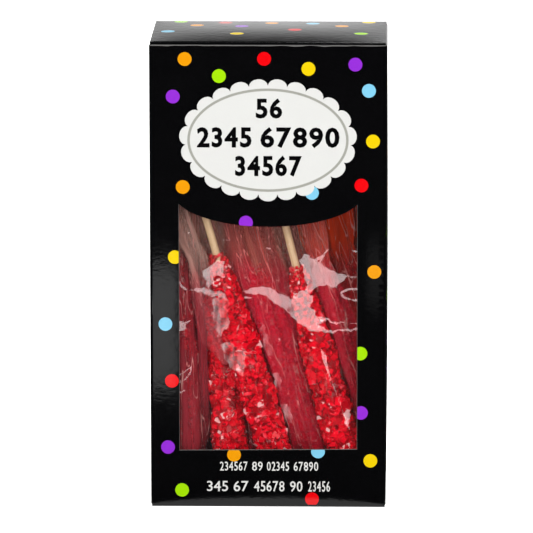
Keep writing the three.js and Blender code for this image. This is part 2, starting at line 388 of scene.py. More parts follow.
# the outline from the glue flap round right side, front and left side to the back
def girthRuns():
    radius, thick = carton["crease"], carton["board"]
    turn = quarter * radius
    right, left, front, back = halfWidth, -halfWidth, -halfDepth, halfDepth
    under = back - thick
    return {
        "glue": Run((right - radius - carton["glueFlap"], under), (1, 0), carton["glueFlap"]),
        "backRight": Run((right - radius, under), (1, 0), turn, radius),
        "right": Run((right, under - radius), (0, -1), depth - thick - 2 * radius),
        "frontRight": Run((right, front + radius), (0, -1), turn, radius),
        "front": Run((right - radius, front), (-1, 0), width - 2 * radius),
        "frontLeft": Run((left + radius, front), (-1, 0), turn, radius),
        "left": Run((left, front + radius), (0, 1), depth - 2 * radius),
        "backLeft": Run((left, back - radius), (0, 1), turn, radius),
        "back": Run((left + radius, back), (1, 0), width - radius - carton["gap"]),
    }


girth = girthRuns()
girthStart = {}
total = 0.0
for name, run in girth.items():
    girthStart[name] = total
    total += run.length


def girthAt(along):
    for name in reversed(girth):
        if along >= girthStart[name] - 1e-9:
            return girth[name].at(along - girthStart[name])
    return girth["glue"].at(along)


def frontAlong(x):
    return girthStart["front"] + halfWidth - carton["crease"] - x


def backAlong(x):
    return girthStart["back"] + halfWidth - carton["crease"] + x


def leftAlong(y):
    return girthStart["left"] + halfDepth - carton["crease"] + y


def rightAlong(y):
    return girthStart["right"] + halfDepth - carton["board"] - carton["crease"] - y


# 1 in the middle, 0 at both ends, level there
def hump(share):
    return math.sin(math.pi * min(max(share, 0), 1)) ** 2


def panelShare(name, along):
    return (along - girthStart[name]) / girth[name].length


# 1 half way up a wall, 0 at its foot and at its top
def uprightShare(rise):
    return math.sin(math.pi * min(max(rise / height, 0), 1))


# how far a wall stands out from its flat place
def wallBow(along, rise):
    if 0 <= panelShare("front", along) <= 1:
        return frontBow(frontAlong(0) - along, rise)
    for name, key in (("left", "sideBow"), ("right", "sideBow"), ("back", "backBow")):
        share = panelShare(name, along)
        if 0 <= share <= 1:
            return carton[key] * hump(share) * uprightShare(rise)
    return 0.0


def frontBow(x, rise):
    side = min(max((halfWidth - abs(x)) / (halfWidth - window["halfWidth"]), 0), 1)
    return carton["frontBow"] * math.sin(side * quarter) * uprightShare(rise)


# a point of the walls: distance round the carton, height, and depth into the board
def wallPoint(along, rise, sink):
    place, normal = girthAt(along)
    if abs(rise - height + carton["rawEdge"]) < same:
        wavePace, bevelPace = carton["rawPace"]
        rise += carton["rawWave"] * noise.noise(Vector((along * wavePace, 0, 0)))
        if not sink:
            rise -= carton["rawBevel"] * (0.7 + noise.noise(Vector((along * bevelPace, 5, 0))))
    out = wallBow(along, rise) - sink
    return Vector((place.x + normal.x * out, place.y + normal.y * out, rise))


# inward distance, rise and tilt after going round a fold, along a panel and round the next fold
def foldPath(distance, firstRadius, straight, secondRadius):
    if distance <= firstRadius * quarter:
        tilt = distance / firstRadius
        return firstRadius * (1 - math.cos(tilt)), firstRadius * math.sin(tilt), tilt
    distance -= firstRadius * quarter
    if distance <= straight:
        return firstRadius + distance, firstRadius, quarter
    distance -= straight
    if distance <= secondRadius * quarter:
        tilt = distance / secondRadius
        across = firstRadius + straight + secondRadius * math.sin(tilt)
        return across, firstRadius - secondRadius * (1 - math.cos(tilt)), quarter + tilt
    distance -= secondRadius * quarter
    return firstRadius + straight + secondRadius, firstRadius - secondRadius - distance, 2 * quarter


endStraight = depth - carton["crease"] - carton["board"] - carton["gap"] - carton["tuckFold"]


# a point of the lid or the base: x, distance past its hinge, and depth into the board
def endPoint(x, distance, sink, atTop):
    across, rise, tilt = foldPath(distance, carton["crease"], endStraight, carton["tuckFold"])
    share = (across - carton["crease"]) / endStraight
    bow = lidBow(x, share) if atTop else 0.0
    across += math.cos(tilt) * sink
    rise += math.sin(tilt) * (bow * (tilt == quarter) - sink)
    if atTop:
        return Vector((x, halfDepth - across, height - carton["crease"] + rise))
    return Vector((x, across - halfDepth, carton["crease"] - rise))


def lidBow(x, share):
    return carton["lidBow"] * (1 - (2 * share - 1) ** 2) * math.cos(x / halfWidth * quarter) ** 0.5


# a point of a dust flap, which is straight past its fold
def dustPoint(side, y, distance, sink, atTop):
    across, rise, tilt = foldPath(distance, carton["crease"], carton["dustFlap"], carton["tuckFold"])
    across += math.cos(tilt) * sink
    rise -= math.sin(tilt) * sink
    z = height - flapLevel + rise if atTop else flapLevel - rise
    return Vector((side * (halfWidth - across), y, z))


def ellipse(centre, half, sides):
    turns = [2 * math.pi * k / sides for k in range(sides)]
    return [(centre[0] + half[0] * math.sin(turn), centre[1] + half[1] * math.cos(turn)) for turn in turns]


def dot(x, y):
    return ellipse((x, y), (dots["radius"], dots["radius"]), dots["sides"])


# outlines of a plain digit of height 1, the outer one first
def digitOutlines(digit):
    curve = bpy.data.curves.new("digit", "FONT")
    curve.body, curve.fill_mode, curve.resolution_u = digit, "NONE", badge["digitSteps"]
    source = bpy.data.objects.new("digit", curve)
    mesh = bpy.data.meshes.new_from_object(source)
    places = np.array([tuple(vertex.co[:2]) for vertex in mesh.vertices])
    beside = {k: [] for k in range(len(places))}
    for start, end in (edge.vertices for edge in mesh.edges):
        beside[start].append(end)
        beside[end].append(start)
    bpy.data.objects.remove(source)
    bpy.data.curves.remove(curve)
    bpy.data.meshes.remove(mesh)
    places = (places - places.min(axis=0)) / (places[:, 1].max() - places[:, 1].min())
    rings = []
    while beside:
        ring, onward = [], [min(beside)]
        while onward:
            ring.append(onward[0])
            onward = [k for k in beside.pop(ring[-1]) if k in beside]
        rings.append([tuple(places[k]) for k in ring])
    return sorted(rings, key=lambda ring: -abs(signedArea(ring)))


# an outline moved outwards by a distance, or inwards by a negative one
def grown(ring, distance):
    if signedArea(ring) < 0:
        ring = ring[::-1]
    points = [Vector(point) for point in ring]
    moved = []
    for before, here, after in zip(points[-1:] + points[:-1], points, points[1:] + points[:1]):
        normals = [Vector((run.y, -run.x)).normalized() for run in (here - before, after - here)]
        share = 1 + normals[0].dot(normals[1])
        moved.append(tuple(here + (normals[0] + normals[1]) * distance / max(share, 0.5)))
    return moved


# groups of digits, each stretched over its span
def digitRow(ink, ground, foot, tall, weight, groups):
    shapes = []
    gap, weight = tall * badge["digitGap"], tall * weight
    for left, right, digits in groups:
        outlines = [digitOutlines(digit) for digit in digits]
        widths = [max(x for x, z in rings[0]) for rings in outlines]
        room = right - left - gap * (len(digits) - 1) - 2 * weight * len(digits)
        across, up = room / sum(widths), tall - 2 * weight
        for rings, wide in zip(outlines, widths):
            for k, ring in enumerate(rings):
                placed = [(left + weight + across * x, foot + weight + up * z) for x, z in ring]
                shapes.append((ground if k else ink, grown(placed, -weight if k else weight)))
            left += across * wide + 2 * weight + gap
    return shapes


def windowOutline():
    sill, rise = window["sill"], window["sillRise"]
    points = [(-window["halfWidth"], sill - rise), (window["halfWidth"], sill + rise)]
    half, drop = window["arcHalfWidth"], window["arcDrop"]
    reach = math.asin(window["halfWidth"] / half)
    for k in range(window["steps"] + 1):
        angle = reach * (1 - 2 * k / window["steps"])
        points.append((half * math.sin(angle), window["arcLowest"] + drop - drop * math.cos(angle)))
    return points


# a point of the board's inner face, which shows a little round the window's crushed edge
def innerWallPoint(along, rise):
    point = wallPoint(along, rise, carton["board"])
    x = frontAlong(0) - along
    halfSpan, bevel = window["halfWidth"], window["bevel"]
    sill = window["sill"] + window["sillRise"] * x / halfSpan
    sideEnd = window["arcLowest"] + window["arcDrop"]
    if abs(x) < halfSpan + same and sill - same < rise < sideEnd:
        if abs(abs(x) - halfSpan) < same:
            point.x -= math.copysign(bevel, x)
        if abs(rise - sill) < same:
            point.z += bevel
    return point


# round lobes along an ellipse, with a notch at the very top
def scallopOutline():
    count, steps, depth = badge["scallops"], badge["scallopSteps"], badge["scallopDepth"]
    fine = 2000
    ring = ellipse(badge["centre"], [half - depth for half in badge["half"]], fine)
    lengths = [0.0]
    for a, b in zip(ring, ring[1:] + ring[:1]):
        lengths.append(lengths[-1] + math.dist(a, b))
    targets = [lengths[-1] * k / count for k in range(count)]
    notches = [Vector(ring[int(np.searchsorted(lengths, target)) % fine]) for target in targets]
    points = []
    for a, b in zip(notches, notches[1:] + notches[:1]):
        middle, half = (a + b) / 2, (b - a) / 2
        outward = Vector((-half.y, half.x)).normalized()
        if outward.dot(middle - Vector(badge["centre"])) < 0:
            outward.negate()
        for step in range(steps):
            angle = math.pi * step / steps
            points.append((middle - half * math.cos(angle) + outward * depth * math.sin(angle))[:])
    return points


# (ink, outline) in x and z, the last on top
def frontPrint():
    shapes = [(ink, dot(x, z)) for ink, x, z in dots["front"]]
    shapes.append(("badge", scallopOutline()))
    outer = badge["ringHalf"]
    inner = [half - badge["ringWidth"] for half in outer]
    shapes.append(("ring", ellipse(badge["centre"], outer, badge["sides"])))
    shapes.append(("badge", ellipse(badge["centre"], inner, badge["sides"])))
    for ink, ground, rows in (("black", "badge", badge["rows"]), ("badge", "black", badge["lowRows"])):
        for foot, tall, weight, groups in rows:
            shapes += digitRow(ink, ground, foot, tall, weight, groups)
    return shapes


# dots spread at random, no two close together, whole ones only
def scatterDots(generator, lowX, lowY, highX, highY):
    placed, names = [], list(inks)
    for attempt in range(dots["tries"]):
        spot = (generator.uniform(lowX, highX), generator.uniform(lowY, highY))
        if all(math.dist(spot, other) > dots["spacing"] for other in placed):
            placed.append(spot)
    return [(names[k % len(names)], dot(x, y)) for k, (x, y) in enumerate(placed)]


# gathers flat regions as outer and inner points, so that one closed board comes out
class Sheet:
    def __init__(self):
        self.outer, self.inner, self.found, self.faces, self.slots = [], [], {}, [], []

    def point(self, outer, inner):
        key = tuple(round(value, 2) for value in outer)
        if key not in self.found:
            self.found[key] = len(self.outer)
            self.outer.append(outer)
            self.inner.append(inner)
        return self.found[key]

    # triangulates an outline with its print; place gives the outer and inner point of a flat one
    def region(self, outline, place, shapes=(), holes=(), lines=()):
        step = carton["grid"]
        points, edges, polygons, inkOf = [], [], [], []

        def addRing(ring):
            if signedArea(ring) < 0:
                ring = ring[::-1]
            first = len(points)
            points.extend(Vector(p) for p in ring)
            polygons.append(list(range(first, first + len(ring))))

        addRing(subdivided(outline, step))
        for hole in holes:
            addRing(hole)
        for ink, ring in shapes:
            addRing(ring)
            inkOf.append(ink)
        for start, end in lines:
            run = subdivided([start, end], step, closed=False)
            first = len(points)
            points.extend(Vector(p) for p in run)
            edges.extend((first + k, first + k + 1) for k in range(len(run) - 1))
        xs, ys = [p[0] for p in outline], [p[1] for p in outline]
        for x in np.arange(min(xs) + step / 2, max(xs), step):
            for y in np.arange(min(ys) + step / 2, max(ys), step):
                points.append(Vector((x, y)))
        flat, _, triangles, _, _, owners = geometry.delaunay_2d_cdt(points, edges, polygons, 0, 1e-4, True)
        indices = {}
        for triangle, owner in zip(triangles, owners):
            if 0 not in owner or any(1 + k in owner for k in range(len(holes))):
                continue
            inked = [k for k in owner if k > len(holes)]
            ink = inkOf[max(inked) - 1 - len(holes)] if inked else "black"
            corners = []
            for k in triangle:
                if k not in indices:
                    indices[k] = self.point(*place(flat[k][0], flat[k][1]))
                corners.append(indices[k])
            if len(set(corners)) == 3:
                self.faces.append(corners)
                self.slots.append(materialOrder.index(ink))

    def build(self, name):
        count = len(self.outer)
        points = [p * mm for p in self.outer] + [p * mm for p in self.inner]
        edgeUse, faces, slots = {}, [], []
        for face, slotIndex in zip(self.faces, self.slots):
            a, b, c = (self.outer[k] for k in face)
            away = (a + b + c) / 3 - sum((self.inner[k] for k in face), Vector()) / 3
            if (b - a).cross(c - a).dot(away) < 0:
                face = face[::-1]
            faces.append(face)
            slots.append(slotIndex)
            faces.append([count + k for k in reversed(face)])
            slots.append(materialOrder.index("inside"))
            for k in range(3):
                edge = (face[k], face[(k + 1) % 3])
                edgeUse[edge] = edgeUse.get(edge, 0) + 1
        for a, b in list(edgeUse):
            if (b, a) not in edgeUse:
                faces.append([b, a, count + a, count + b])
                slots.append(materialOrder.index("cutEdge"))
        mesh = bpy.data.meshes.new(name)
        mesh.from_pydata(points, [], faces)
        mesh.polygons.foreach_set("material_index", slots)
        mesh.validate()
        return mesh


# the same outline with a point at least every step
def subdivided(ring, step, closed=True):
    points = []
    for a, b in zip(ring, ring[1:] + ring[:closed]):
        pieces = max(1, math.ceil(math.dist(a, b) / step - 1e-6))
        for k in range(pieces):
            points.append((a[0] + (b[0] - a[0]) * k / pieces, a[1] + (b[1] - a[1]) * k / pieces))
    if not closed:
        points.append(ring[-1])
    return points


# an outline on a wall, moved to the wall's place round the carton
def shifted(ring, along):
    return [(along(x), rise) for x, rise in ring]


def signedArea(ring):
    return sum(a[0] * b[1] - b[0] * a[1] for a, b in zip(ring, ring[1:] + ring[:1])) / 2


# lines across a fold, so that it comes out round
def foldLines(start, radius, low, high, upright):
    steps = carton["foldSteps"]
    lines = []
    for k in range(steps + 1):
        place = start + quarter * radius * k / steps
        lines.append(((place, low), (place, high)) if upright else ((low, place), (high, place)))
    return lines


# the four walls and the glue flap in one strip, with steps where the dust flaps turn in
def wallOutline():
    raw, radius, level = carton["rawEdge"], carton["crease"], flapLevel
    flapEnd = girthStart["glue"] + carton["glueFlap"]
    margin, slant = carton["glueMargin"], carton["glueSlant"]
    backStep, frontStep = halfDepth - keepBack, halfDepth - keepFront
    lower = [
        (0, margin + slant), (flapEnd, margin), (flapEnd, raw),
        (rightAlong(frontStep), raw), (rightAlong(frontStep), level),
        (rightAlong(-backStep), level), (rightAlong(-backStep), radius),
        (leftAlong(-backStep), radius), (leftAlong(-backStep), level),
        (leftAlong(frontStep), level), (leftAlong(frontStep), raw), (total, raw),
    ]
    upper = [
        (total, radius), (leftAlong(backStep), radius), (leftAlong(backStep), level),
        (leftAlong(-frontStep), level), (leftAlong(-frontStep), raw),
        (rightAlong(-frontStep), raw), (rightAlong(-frontStep), level),
        (rightAlong(backStep), level), (rightAlong(backStep), radius),
        (flapEnd, radius), (flapEnd, margin), (0, margin + slant),
    ]
    return lower + [(along, height - rise) for along, rise in upper]


def makeCarton():
    sheet = Sheet()
    generator = random.Random(dots["seed"])
    walls = [(ink, shifted(ring, frontAlong)) for ink, ring in frontPrint()]
    reach = dots["radius"] + dots["margin"]
    sideSpan, endSpan = halfDepth - reach, halfWidth - reach
    for along, span in ((leftAlong, sideSpan), (rightAlong, sideSpan), (backAlong, endSpan)):
        found = scatterDots(generator, -span, reach, span, height - reach)
        walls += [(ink, shifted(ring, along)) for ink, ring in found]
    hole = subdivided(shifted(windowOutline(), frontAlong), window["spacing"])
    lines = []
    for name, run in girth.items():
        if run.radius:
            lines += foldLines(girthStart[name], run.radius, 0, height, True)

    def place(along, rise):
        return wallPoint(along, rise, 0), innerWallPoint(along, rise)

    sheet.region(wallOutline(), place, walls, [hole], lines)
    makeEnd(sheet, generator, True)
    makeEnd(sheet, generator, False)
    for side in (-1, 1):
        for atTop in (True, False):
            makeDustFlap(sheet, side, atTop)
    mesh = sheet.build("carton_board")
    piece = bpy.data.objects.new("carton_board", mesh)
    bpy.context.scene.collection.objects.link(piece)
    for name in materialOrder:
        if name in inks:
            mesh.materials.append(makeInk("dot_" + name, inks[name]))
        elif name in ("inside", "cutEdge"):
            mesh.materials.append(makeRawBoard("board_" + name, board[name]))
        else:
            mesh.materials.append(makeInk("print_" + name, board[name]))
    smoothFlatParts(mesh, 35)
    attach(piece, "root")
    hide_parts("carton")
    return piece


# smooth shading, with sharp edges where faces meet at more than the angle
def smoothFlatParts(mesh, angle):
    mesh.polygons.foreach_set("use_smooth", [True] * len(mesh.polygons))
    mesh.set_sharp_from_angle(angle=math.radians(angle))


# lid or base, from its fold at the back or the front round to its tuck flap
def makeEnd(sheet, generator, atTop):
    edge = halfWidth - carton["lidInset"]
    tuckEdge = halfWidth - carton["tuckInset"]
    panelEnd = carton["crease"] * quarter + endStraight
    foldEnd = panelEnd + carton["tuckFold"] * quarter
    end = foldEnd + carton["tuck"] - carton["tuckFold"]
    corner, steps = carton["tuckCorner"], carton["cornerSteps"]
    right = [(edge, 0), (edge, foldEnd), (tuckEdge, foldEnd + carton["tuckStep"])]
    for k in range(steps + 1):
        angle = quarter * k / steps
        right.append((tuckEdge - corner + corner * math.cos(angle), end - corner + corner * math.sin(angle)))
    outline = right + [(-x, y) for x, y in reversed(right)]
    lines = foldLines(0, carton["crease"], -edge, edge, False)
    lines += foldLines(panelEnd, carton["tuckFold"], -edge, edge, False)
    if atTop:
        hinge = halfDepth - carton["crease"] + carton["crease"] * quarter
        marks = [(ink, dot(x, hinge - y)) for ink, x, y in dots["lid"]]
    else:
        reach = dots["radius"] + dots["margin"]
        marks = scatterDots(generator, reach - halfWidth, reach, halfWidth - reach, panelEnd - reach)

    def place(x, distance):
        return endPoint(x, distance, 0, atTop), endPoint(x, distance, carton["board"], atTop)

    sheet.region(outline, place, marks, (), lines)


def makeDustFlap(sheet, side, atTop):
    near, far = -halfDepth + keepFront, halfDepth - keepBack
    if not atTop:
        near, far = -far, -near
    fold = carton["crease"] * quarter
    length = fold + carton["dustFlap"]
    taper = carton["dustTaper"]
    outline = [(near, 0), (near, fold), (near + taper, length), (far - taper, length), (far, fold), (far, 0)]

    def place(y, distance):
        return dustPoint(side, y, distance, 0, atTop), dustPoint(side, y, distance, carton["board"], atTop)

    sheet.region(outline, place, (), (), foldLines(0, carton["crease"], near, far, False))


cartonPiece = makeCarton()
print("carton folded,", len(cartonPiece.data.polygons), "faces")


# rock candy sticks, each sealed in clear film
sticks = {
    "sleeve": 178.0,
    "seal": 6.0,
    "sealHalf": (7.8, 0.4),
    "sleeveHalf": (6.8, 2.7),
    "dowel": 1.65,
    "dowelTop": 166.0,
    "dowelSides": 20,
    "neck": (4.0, 3.2),
    "candyHalf": (9.0, 7.0),
    "lumps": 0.09,          # depth, as a share of the half widths
    "lumpWaves": [(2, 0.21, 1), (3, -0.33, 2.3)],   # lumps round the stick, radians of twist per mm, phase
    "phaseStep": 1.7,       # radians by which the lumps turn from one stick to the next
    "lift": 2.3,
    "rows": [-23.1, -7.9, 7.3, 22.5],
    # row, foot, lean, tilt, spin, girth, candy length
    "places": [
        (0, -37, 1.5, 2.5, 4, 0.96, 100), (0, -15.2, 4.5, 9, -6, 0.97, 100),
        (0, 7.9, 16, -0.5, 3, 0.98, 104), (0, 37.8, 14.5, 0, -4, 1, 98),
        (1, -39.3, 1, 1.5, -5, 0.94, 100), (1, 23.6, 17, 0, 5, 0.94, 96), (1, 41, 11, 0, -3, 0.94, 100),
        (2, -37, 1.8, 0, 6, 0.95, 100), (2, -17.2, 2.2, 0, -7, 0.97, 100), (2, 2.4, 2.6, 0, 2, 0.96, 100),
        (2, 21.6, 3, 0, 8, 0.94, 100), (2, 40.7, 3.4, 0, -2, 0.96, 100),
        (3, -41.2, 0.5, 0, 3, 0.87, 100), (3, -24.8, 1, 0, -4, 0.87, 100), (3, -8.3, 0.5, 0, 5, 0.87, 100),
        (3, 8.3, 1, 0, -3, 0.87, 100), (3, 24.8, 0.5, 0, 4, 0.87, 100), (3, 41.2, 0.5, 0, -5, 0.87, 100),
    ],
    # share of the candy's length, share of its full girth
    "crust": [(0, 0.5), (0.03, 0.66), (0.1, 0.9), (0.2, 1), (0.31, 0.95), (0.42, 1), (0.53, 0.92),
              (0.64, 0.93), (0.74, 0.82), (0.84, 0.74), (0.92, 0.6), (1, 0.42)],
    "crystals": (1380, 950, 520, 520),     # on a stick of each row
    "crystalSize": (1.5, 4.7),
    "sizeDraw": (1.6, 2.6),     # shape of the draw of sizes, in which small ones are common
    "thinSize": 0.25,           # share by which crystals are smaller where the candy is thin
    "tipCrowd": 0.8,            # how many more of them the tip gets than its girth gives it
    "endMargin": (1.2, 0.6),    # between their middles and the candy's two ends
    "leastReach": 0.6,          # between their middles and the stick's axis
    "ownShade": 0.65,           # share of a facet's tint that is its own, where the rest is its crystal's
    "kindSeed": 3,
    "crystalKinds": 14,
    "corner": (0.8, 1.05),      # reach of a crystal's corners, in half widths
    "cutCorners": 0.3,          # share of the corners that are cut off
    "cut": (0.3, 0.6),
    "flatness": ((0.7, 1), (0.5, 0.95)),    # of its second and third width
    "sink": 0.6,                # most that a crystal sits deeper than half its size
    "core": 1.7,                # depth of the closed body under the crust's outline
    "coreMesh": (20, 34),       # its sides and rings
    "coreSpan": (0.012, 0.985),     # the share of the candy's length that it fills
    # place of the core on the tint ramp: a dark red, painted shade in the gaps between the crystals
    "coreShade": 0.2,
    "coreLeast": 0.8,
    "tip": 0.7,                 # share of the candy above which the crystals get smaller
    "tipFineness": 0.5,
}
sugarLook = {
    # share of the facets up to which a colour reaches, and that colour; the darker and brighter reds are the
    # crystals' red with painted light and shade of light refracted through them, and the pink and white-pink
    # are painted glints
    "tintsAndGlints": [(0.0, (128, 0, 14)), (0.25, (182, 0, 20)), (0.5, (230, 0, 28)), (0.91, (250, 8, 40)),
              (0.975, (252, 84, 100)), (1.0, (255, 196, 196))],
    "cloud": 0.5,           # how far the tints wander from place to place
    "cloudSize": 160.0,
    "roughness": (0.03, 0.18),
    "shine": 0.26,
}
woodLook = {
    "colour": (244, 214, 172),
    "darker": (0.72, 0.62, 0.5),
    "stops": (0.3, 0.65),
    "grain": (900, 900, 40),
    "roughness": 0.65,
}


# girth of the crust at a share of the candy's length, as a share of the widest
def crustAt(share):
    shares, parts = zip(*sticks["crust"])
    return np.interp(share, shares, parts)


# share to which the lumps bring the outline in, at an angle round the stick and a height
def lumpiness(angle, rise, phase):
    waves = 0
    for count, twist, turn in sticks["lumpWaves"]:
        waves += np.sin(count * angle + twist * rise + turn * phase)
    return 1 - sticks["lumps"] + sticks["lumps"] * waves / 2


def smoothMesh(name, points, faces, sharpAngle=None):
    mesh = bpy.data.meshes.new(name)
    mesh.from_pydata(points, [], faces)
    mesh.polygons.foreach_set("use_smooth", [True] * len(mesh.polygons))
    if sharpAngle:
        mesh.set_sharp_from_angle(angle=math.radians(sharpAngle))
    return mesh


# four-sided faces between the rings of a tube
def tubeFaces(rings, sides):
    faces = []
    for ring in range(rings - 1):
        for side in range(sides):
            a, b = ring * sides + side, ring * sides + (side + 1) % sides
            faces.append((a, b, b + sides, a + sides))
    return faces


# four-sided faces of an open strip of rows of points
def stripFaces(rows, across):
    starts = [row * across + column for row in range(rows - 1) for column in range(across - 1)]
    return [(a, a + 1, a + across + 1, a + across) for a in starts]


# blocky crystals with some corners cut off, each about one unit across
def makeCrystalShapes(generator):
    shapes = []
    for number in range(sticks["crystalKinds"]):
        points = []
        for corner in range(8):
            signs = [1 if corner >> axis & 1 else -1 for axis in range(3)]
            place = Vector([0.5 * sign * generator.uniform(*sticks["corner"]) for sign in signs])
            if generator.random() < sticks["cutCorners"]:
                for axis in range(3):
                    cut = place.copy()
                    cut[axis] *= generator.uniform(*sticks["cut"])
                    points.append(cut)
            else:
                points.append(place)
        shape = bmesh.new()
        for point in points:
            shape.verts.new(point)
        bmesh.ops.convex_hull(shape, input=shape.verts)
        loose = [vert for vert in shape.verts if not vert.link_faces]
        bmesh.ops.delete(shape, geom=loose, context="VERTS")
        shape.verts.index_update()
        shape.normal_update()
        sides = []
        for face in shape.faces:
            axis = max(range(3), key=lambda k: abs(face.normal[k]))
            sides.append(2 * axis + (face.normal[axis] > 0))
        places = np.array([vert.co[:] for vert in shape.verts])
        faces = np.array([[vert.index for vert in face.verts] for face in shape.faces])
        shapes.append((places, faces, sides))
        shape.free()
    return shapes


crystalShapes = makeCrystalShapes(random.Random(sticks["kindSeed"]))


# rotation matrices spread evenly over all turns
def randomTurns(generator, count):
    quaternion = generator.normal(size=(count, 4))
    quaternion /= np.linalg.norm(quaternion, axis=1, keepdims=True)
    w, x, y, z = quaternion.T
    return np.stack([
        np.stack([1 - 2 * (y * y + z * z), 2 * (x * y - z * w), 2 * (x * z + y * w)], -1),
        np.stack([2 * (x * y + z * w), 1 - 2 * (x * x + z * z), 2 * (y * z - x * w)], -1),
        np.stack([2 * (x * z - y * w), 2 * (y * z + x * w), 1 - 2 * (x * x + y * y)], -1),
    ], 1)


# crystals strewn over the crust's outline, with a closed core under them
def makeCandyMesh(name, seed, candy, girth, phase, count):
    generator = np.random.default_rng(seed)
    wide, deep = (half * girth for half in sticks["candyHalf"])
    share = generator.uniform(0, 1, count * 2)
    part = crustAt(share)
    tip = np.interp(share, (sticks["tip"], 1), (0, 1))
    keep = generator.uniform(0, 1, count * 2) < part * 0.9 + 0.1 + sticks["tipCrowd"] * tip
    share, part, tip = share[keep][:count], part[keep][:count], tip[keep][:count]
    number = len(share)
    angle = generator.uniform(0, 2 * math.pi, number)
    rise = sticks["seal"] + candy * share
    outline = lumpiness(angle, rise, phase) * part
    low, high = sticks["crystalSize"]
    size = low + (high - low) * generator.beta(*sticks["sizeDraw"], number)
    size *= (1 - sticks["thinSize"] + sticks["thinSize"] * part) * (1 - sticks["tipFineness"] * tip)
    sink = 0.5 * size + generator.uniform(0, sticks["sink"], number)
    x = np.cos(angle) * np.maximum(wide * outline - sink, sticks["leastReach"])
    y = np.sin(angle) * np.maximum(deep * outline - sink, sticks["leastReach"])
    lower, upper = sticks["endMargin"]
    rise = np.clip(rise, sticks["seal"] + lower, sticks["seal"] + candy - upper)
    centres = np.stack([x, y, rise], -1)
    turns = randomTurns(generator, number)
    stretch = [np.ones(number)] + [generator.uniform(*limits, number) for limits in sticks["flatness"]]
    stretch = np.stack(stretch, -1)
    kinds = generator.integers(0, len(crystalShapes), number)
    own = sticks["ownShade"]
    # each facet's place on the tint ramp, partly its crystal's and partly its own: painted light, shade and
    # glints
    shades = (1 - own) * generator.uniform(0, 1, (number, 1)) + own * generator.uniform(0, 1, (number, 6))
    shades = np.argsort(np.argsort(shades.ravel())).reshape(shades.shape) / shades.size
    points, faces, facets, offset = [], [], [], 0
    for k in range(number):
        shape, shapeFaces, sides = crystalShapes[kinds[k]]
        points.append((shape * stretch[k] * size[k]) @ turns[k].T + centres[k])
        faces.append(shapeFaces + offset)
        facets.append(shades[k][sides])
        offset += len(shape)
    corePoints, coreFaces = makeCore(candy, wide, deep, phase)
    points.append(corePoints)
    facets.append(np.full(len(coreFaces), sticks["coreShade"]))
    faces = np.concatenate(faces + [coreFaces + offset])
    mesh = bpy.data.meshes.new(name)
    mesh.from_pydata((np.concatenate(points) * mm).tolist(), [], faces.tolist())
    facet = mesh.attributes.new("facet", "FLOAT", "FACE")
    facet.data.foreach_set("value", np.concatenate(facets).astype(np.float32))
    return mesh


# the closed body under the crystals, as triangles
def makeCore(candy, wide, deep, phase):
    sides, rings = sticks["coreMesh"]
    shares = np.linspace(*sticks["coreSpan"], rings)
    points = []
    for share in shares:
        rise = sticks["seal"] + candy * share
        for side in range(sides):
            angle = 2 * math.pi * side / sides
            part = crustAt(share) * lumpiness(angle, rise, phase)
            across, back = (max(half * part - sticks["core"], sticks["coreLeast"]) for half in (wide, deep))
            points.append((across * math.cos(angle), back * math.sin(angle), rise))
    faces = []
    for a, b, c, d in tubeFaces(rings, sides):
        faces += [(a, b, c), (a, c, d)]
    last = (rings - 1) * sides
    for side in range(1, sides - 1):
        faces += [(0, side + 1, side), (last, last + side, last + side + 1)]
    return np.array(points), np.array(faces)


# a turned stick with rounded ends, from inside the candy to under the top seal
def makeDowelMesh(name, candy):
    sides, radius = sticks["dowelSides"], sticks["dowel"]
    low, high = sticks["seal"] + candy * 0.5, sticks["dowelTop"]
    rings = [(low, radius * 0.6), (low + 0.6, radius)]
    rings += [(float(z), radius) for z in np.linspace(low + 4, high - 4, 10)]
    rings += [(high - 0.8, radius), (high - 0.25, radius * 0.82), (high, radius * 0.5)]
    points = []
    for z, reach in rings:
        for side in range(sides):
            angle = 2 * math.pi * side / sides
            points.append((reach * math.cos(angle) * mm, reach * math.sin(angle) * mm, z * mm))
    last = (len(rings) - 1) * sides
    ends = [tuple(range(sides - 1, -1, -1)), tuple(range(last, last + sides))]
    return smoothMesh(name, points, tubeFaces(len(rings), sides) + ends, 40)


sleeve = {
    "steps": 74,            # rings along the film
    "sides": 84,
    "overlap": 1.1,         # radians by which the film goes past a full turn
    "seamStep": 2.4,        # radians between one stick's seam and the next one's
    "pleatNoise": (2.2, 0.013),     # pace of the pleats' noise round the stick and along it
    "crinkleNoise": 0.09,           # more pace along it for the crinkles
    "slack": 0.35,          # space over the crystals
    "pleats": 0.88,         # depth of the lengthwise folds
    "crinkle": (0.24, 0.56),    # beside the candy and above it
    "calm": 14.0,           # length at both ends over which the folds die out
    "lift": 0.5,            # how far the film stands off past a full turn, per radian
    "rise": 0.12,           # how much further out its free edge lies than its hidden one
}


# half width and half depth of the film at a height
def sleeveHalves(rise, candy, girth):
    seal, length = sticks["seal"], sticks["sleeve"]
    neckRise = seal + candy
    wide, deep = (half * girth for half in sticks["candyHalf"])
    sealWide, sealDeep = sticks["sealHalf"]
    flatWide, flatDeep = sticks["sleeveHalf"]
    table = [(0, sealWide, sealDeep), (seal - 1, sealWide, sealDeep * 1.5)]
    for share, part in sticks["crust"][1:-1]:
        table.append((seal + candy * share, wide * part, deep * part))
    table += [
        (neckRise, *sticks["neck"]), (neckRise + 8, flatWide * 0.85, flatDeep),
        ((neckRise + length) / 2, flatWide, flatDeep), (length - 2 * seal, flatWide, flatDeep * 0.9),
        (length - seal, flatWide, sealDeep * 1.5), (length, flatWide, sealDeep),
    ]
    rises, wides, deeps = zip(*table)
    return float(np.interp(rise, rises, wides)), float(np.interp(rise, rises, deeps))


# a seeded place in the noise, so that no two films fold alike
def randomShift(seed):
    generator = random.Random(seed)
    return Vector((generator.uniform(0, 50), generator.uniform(0, 50), generator.uniform(0, 50)))


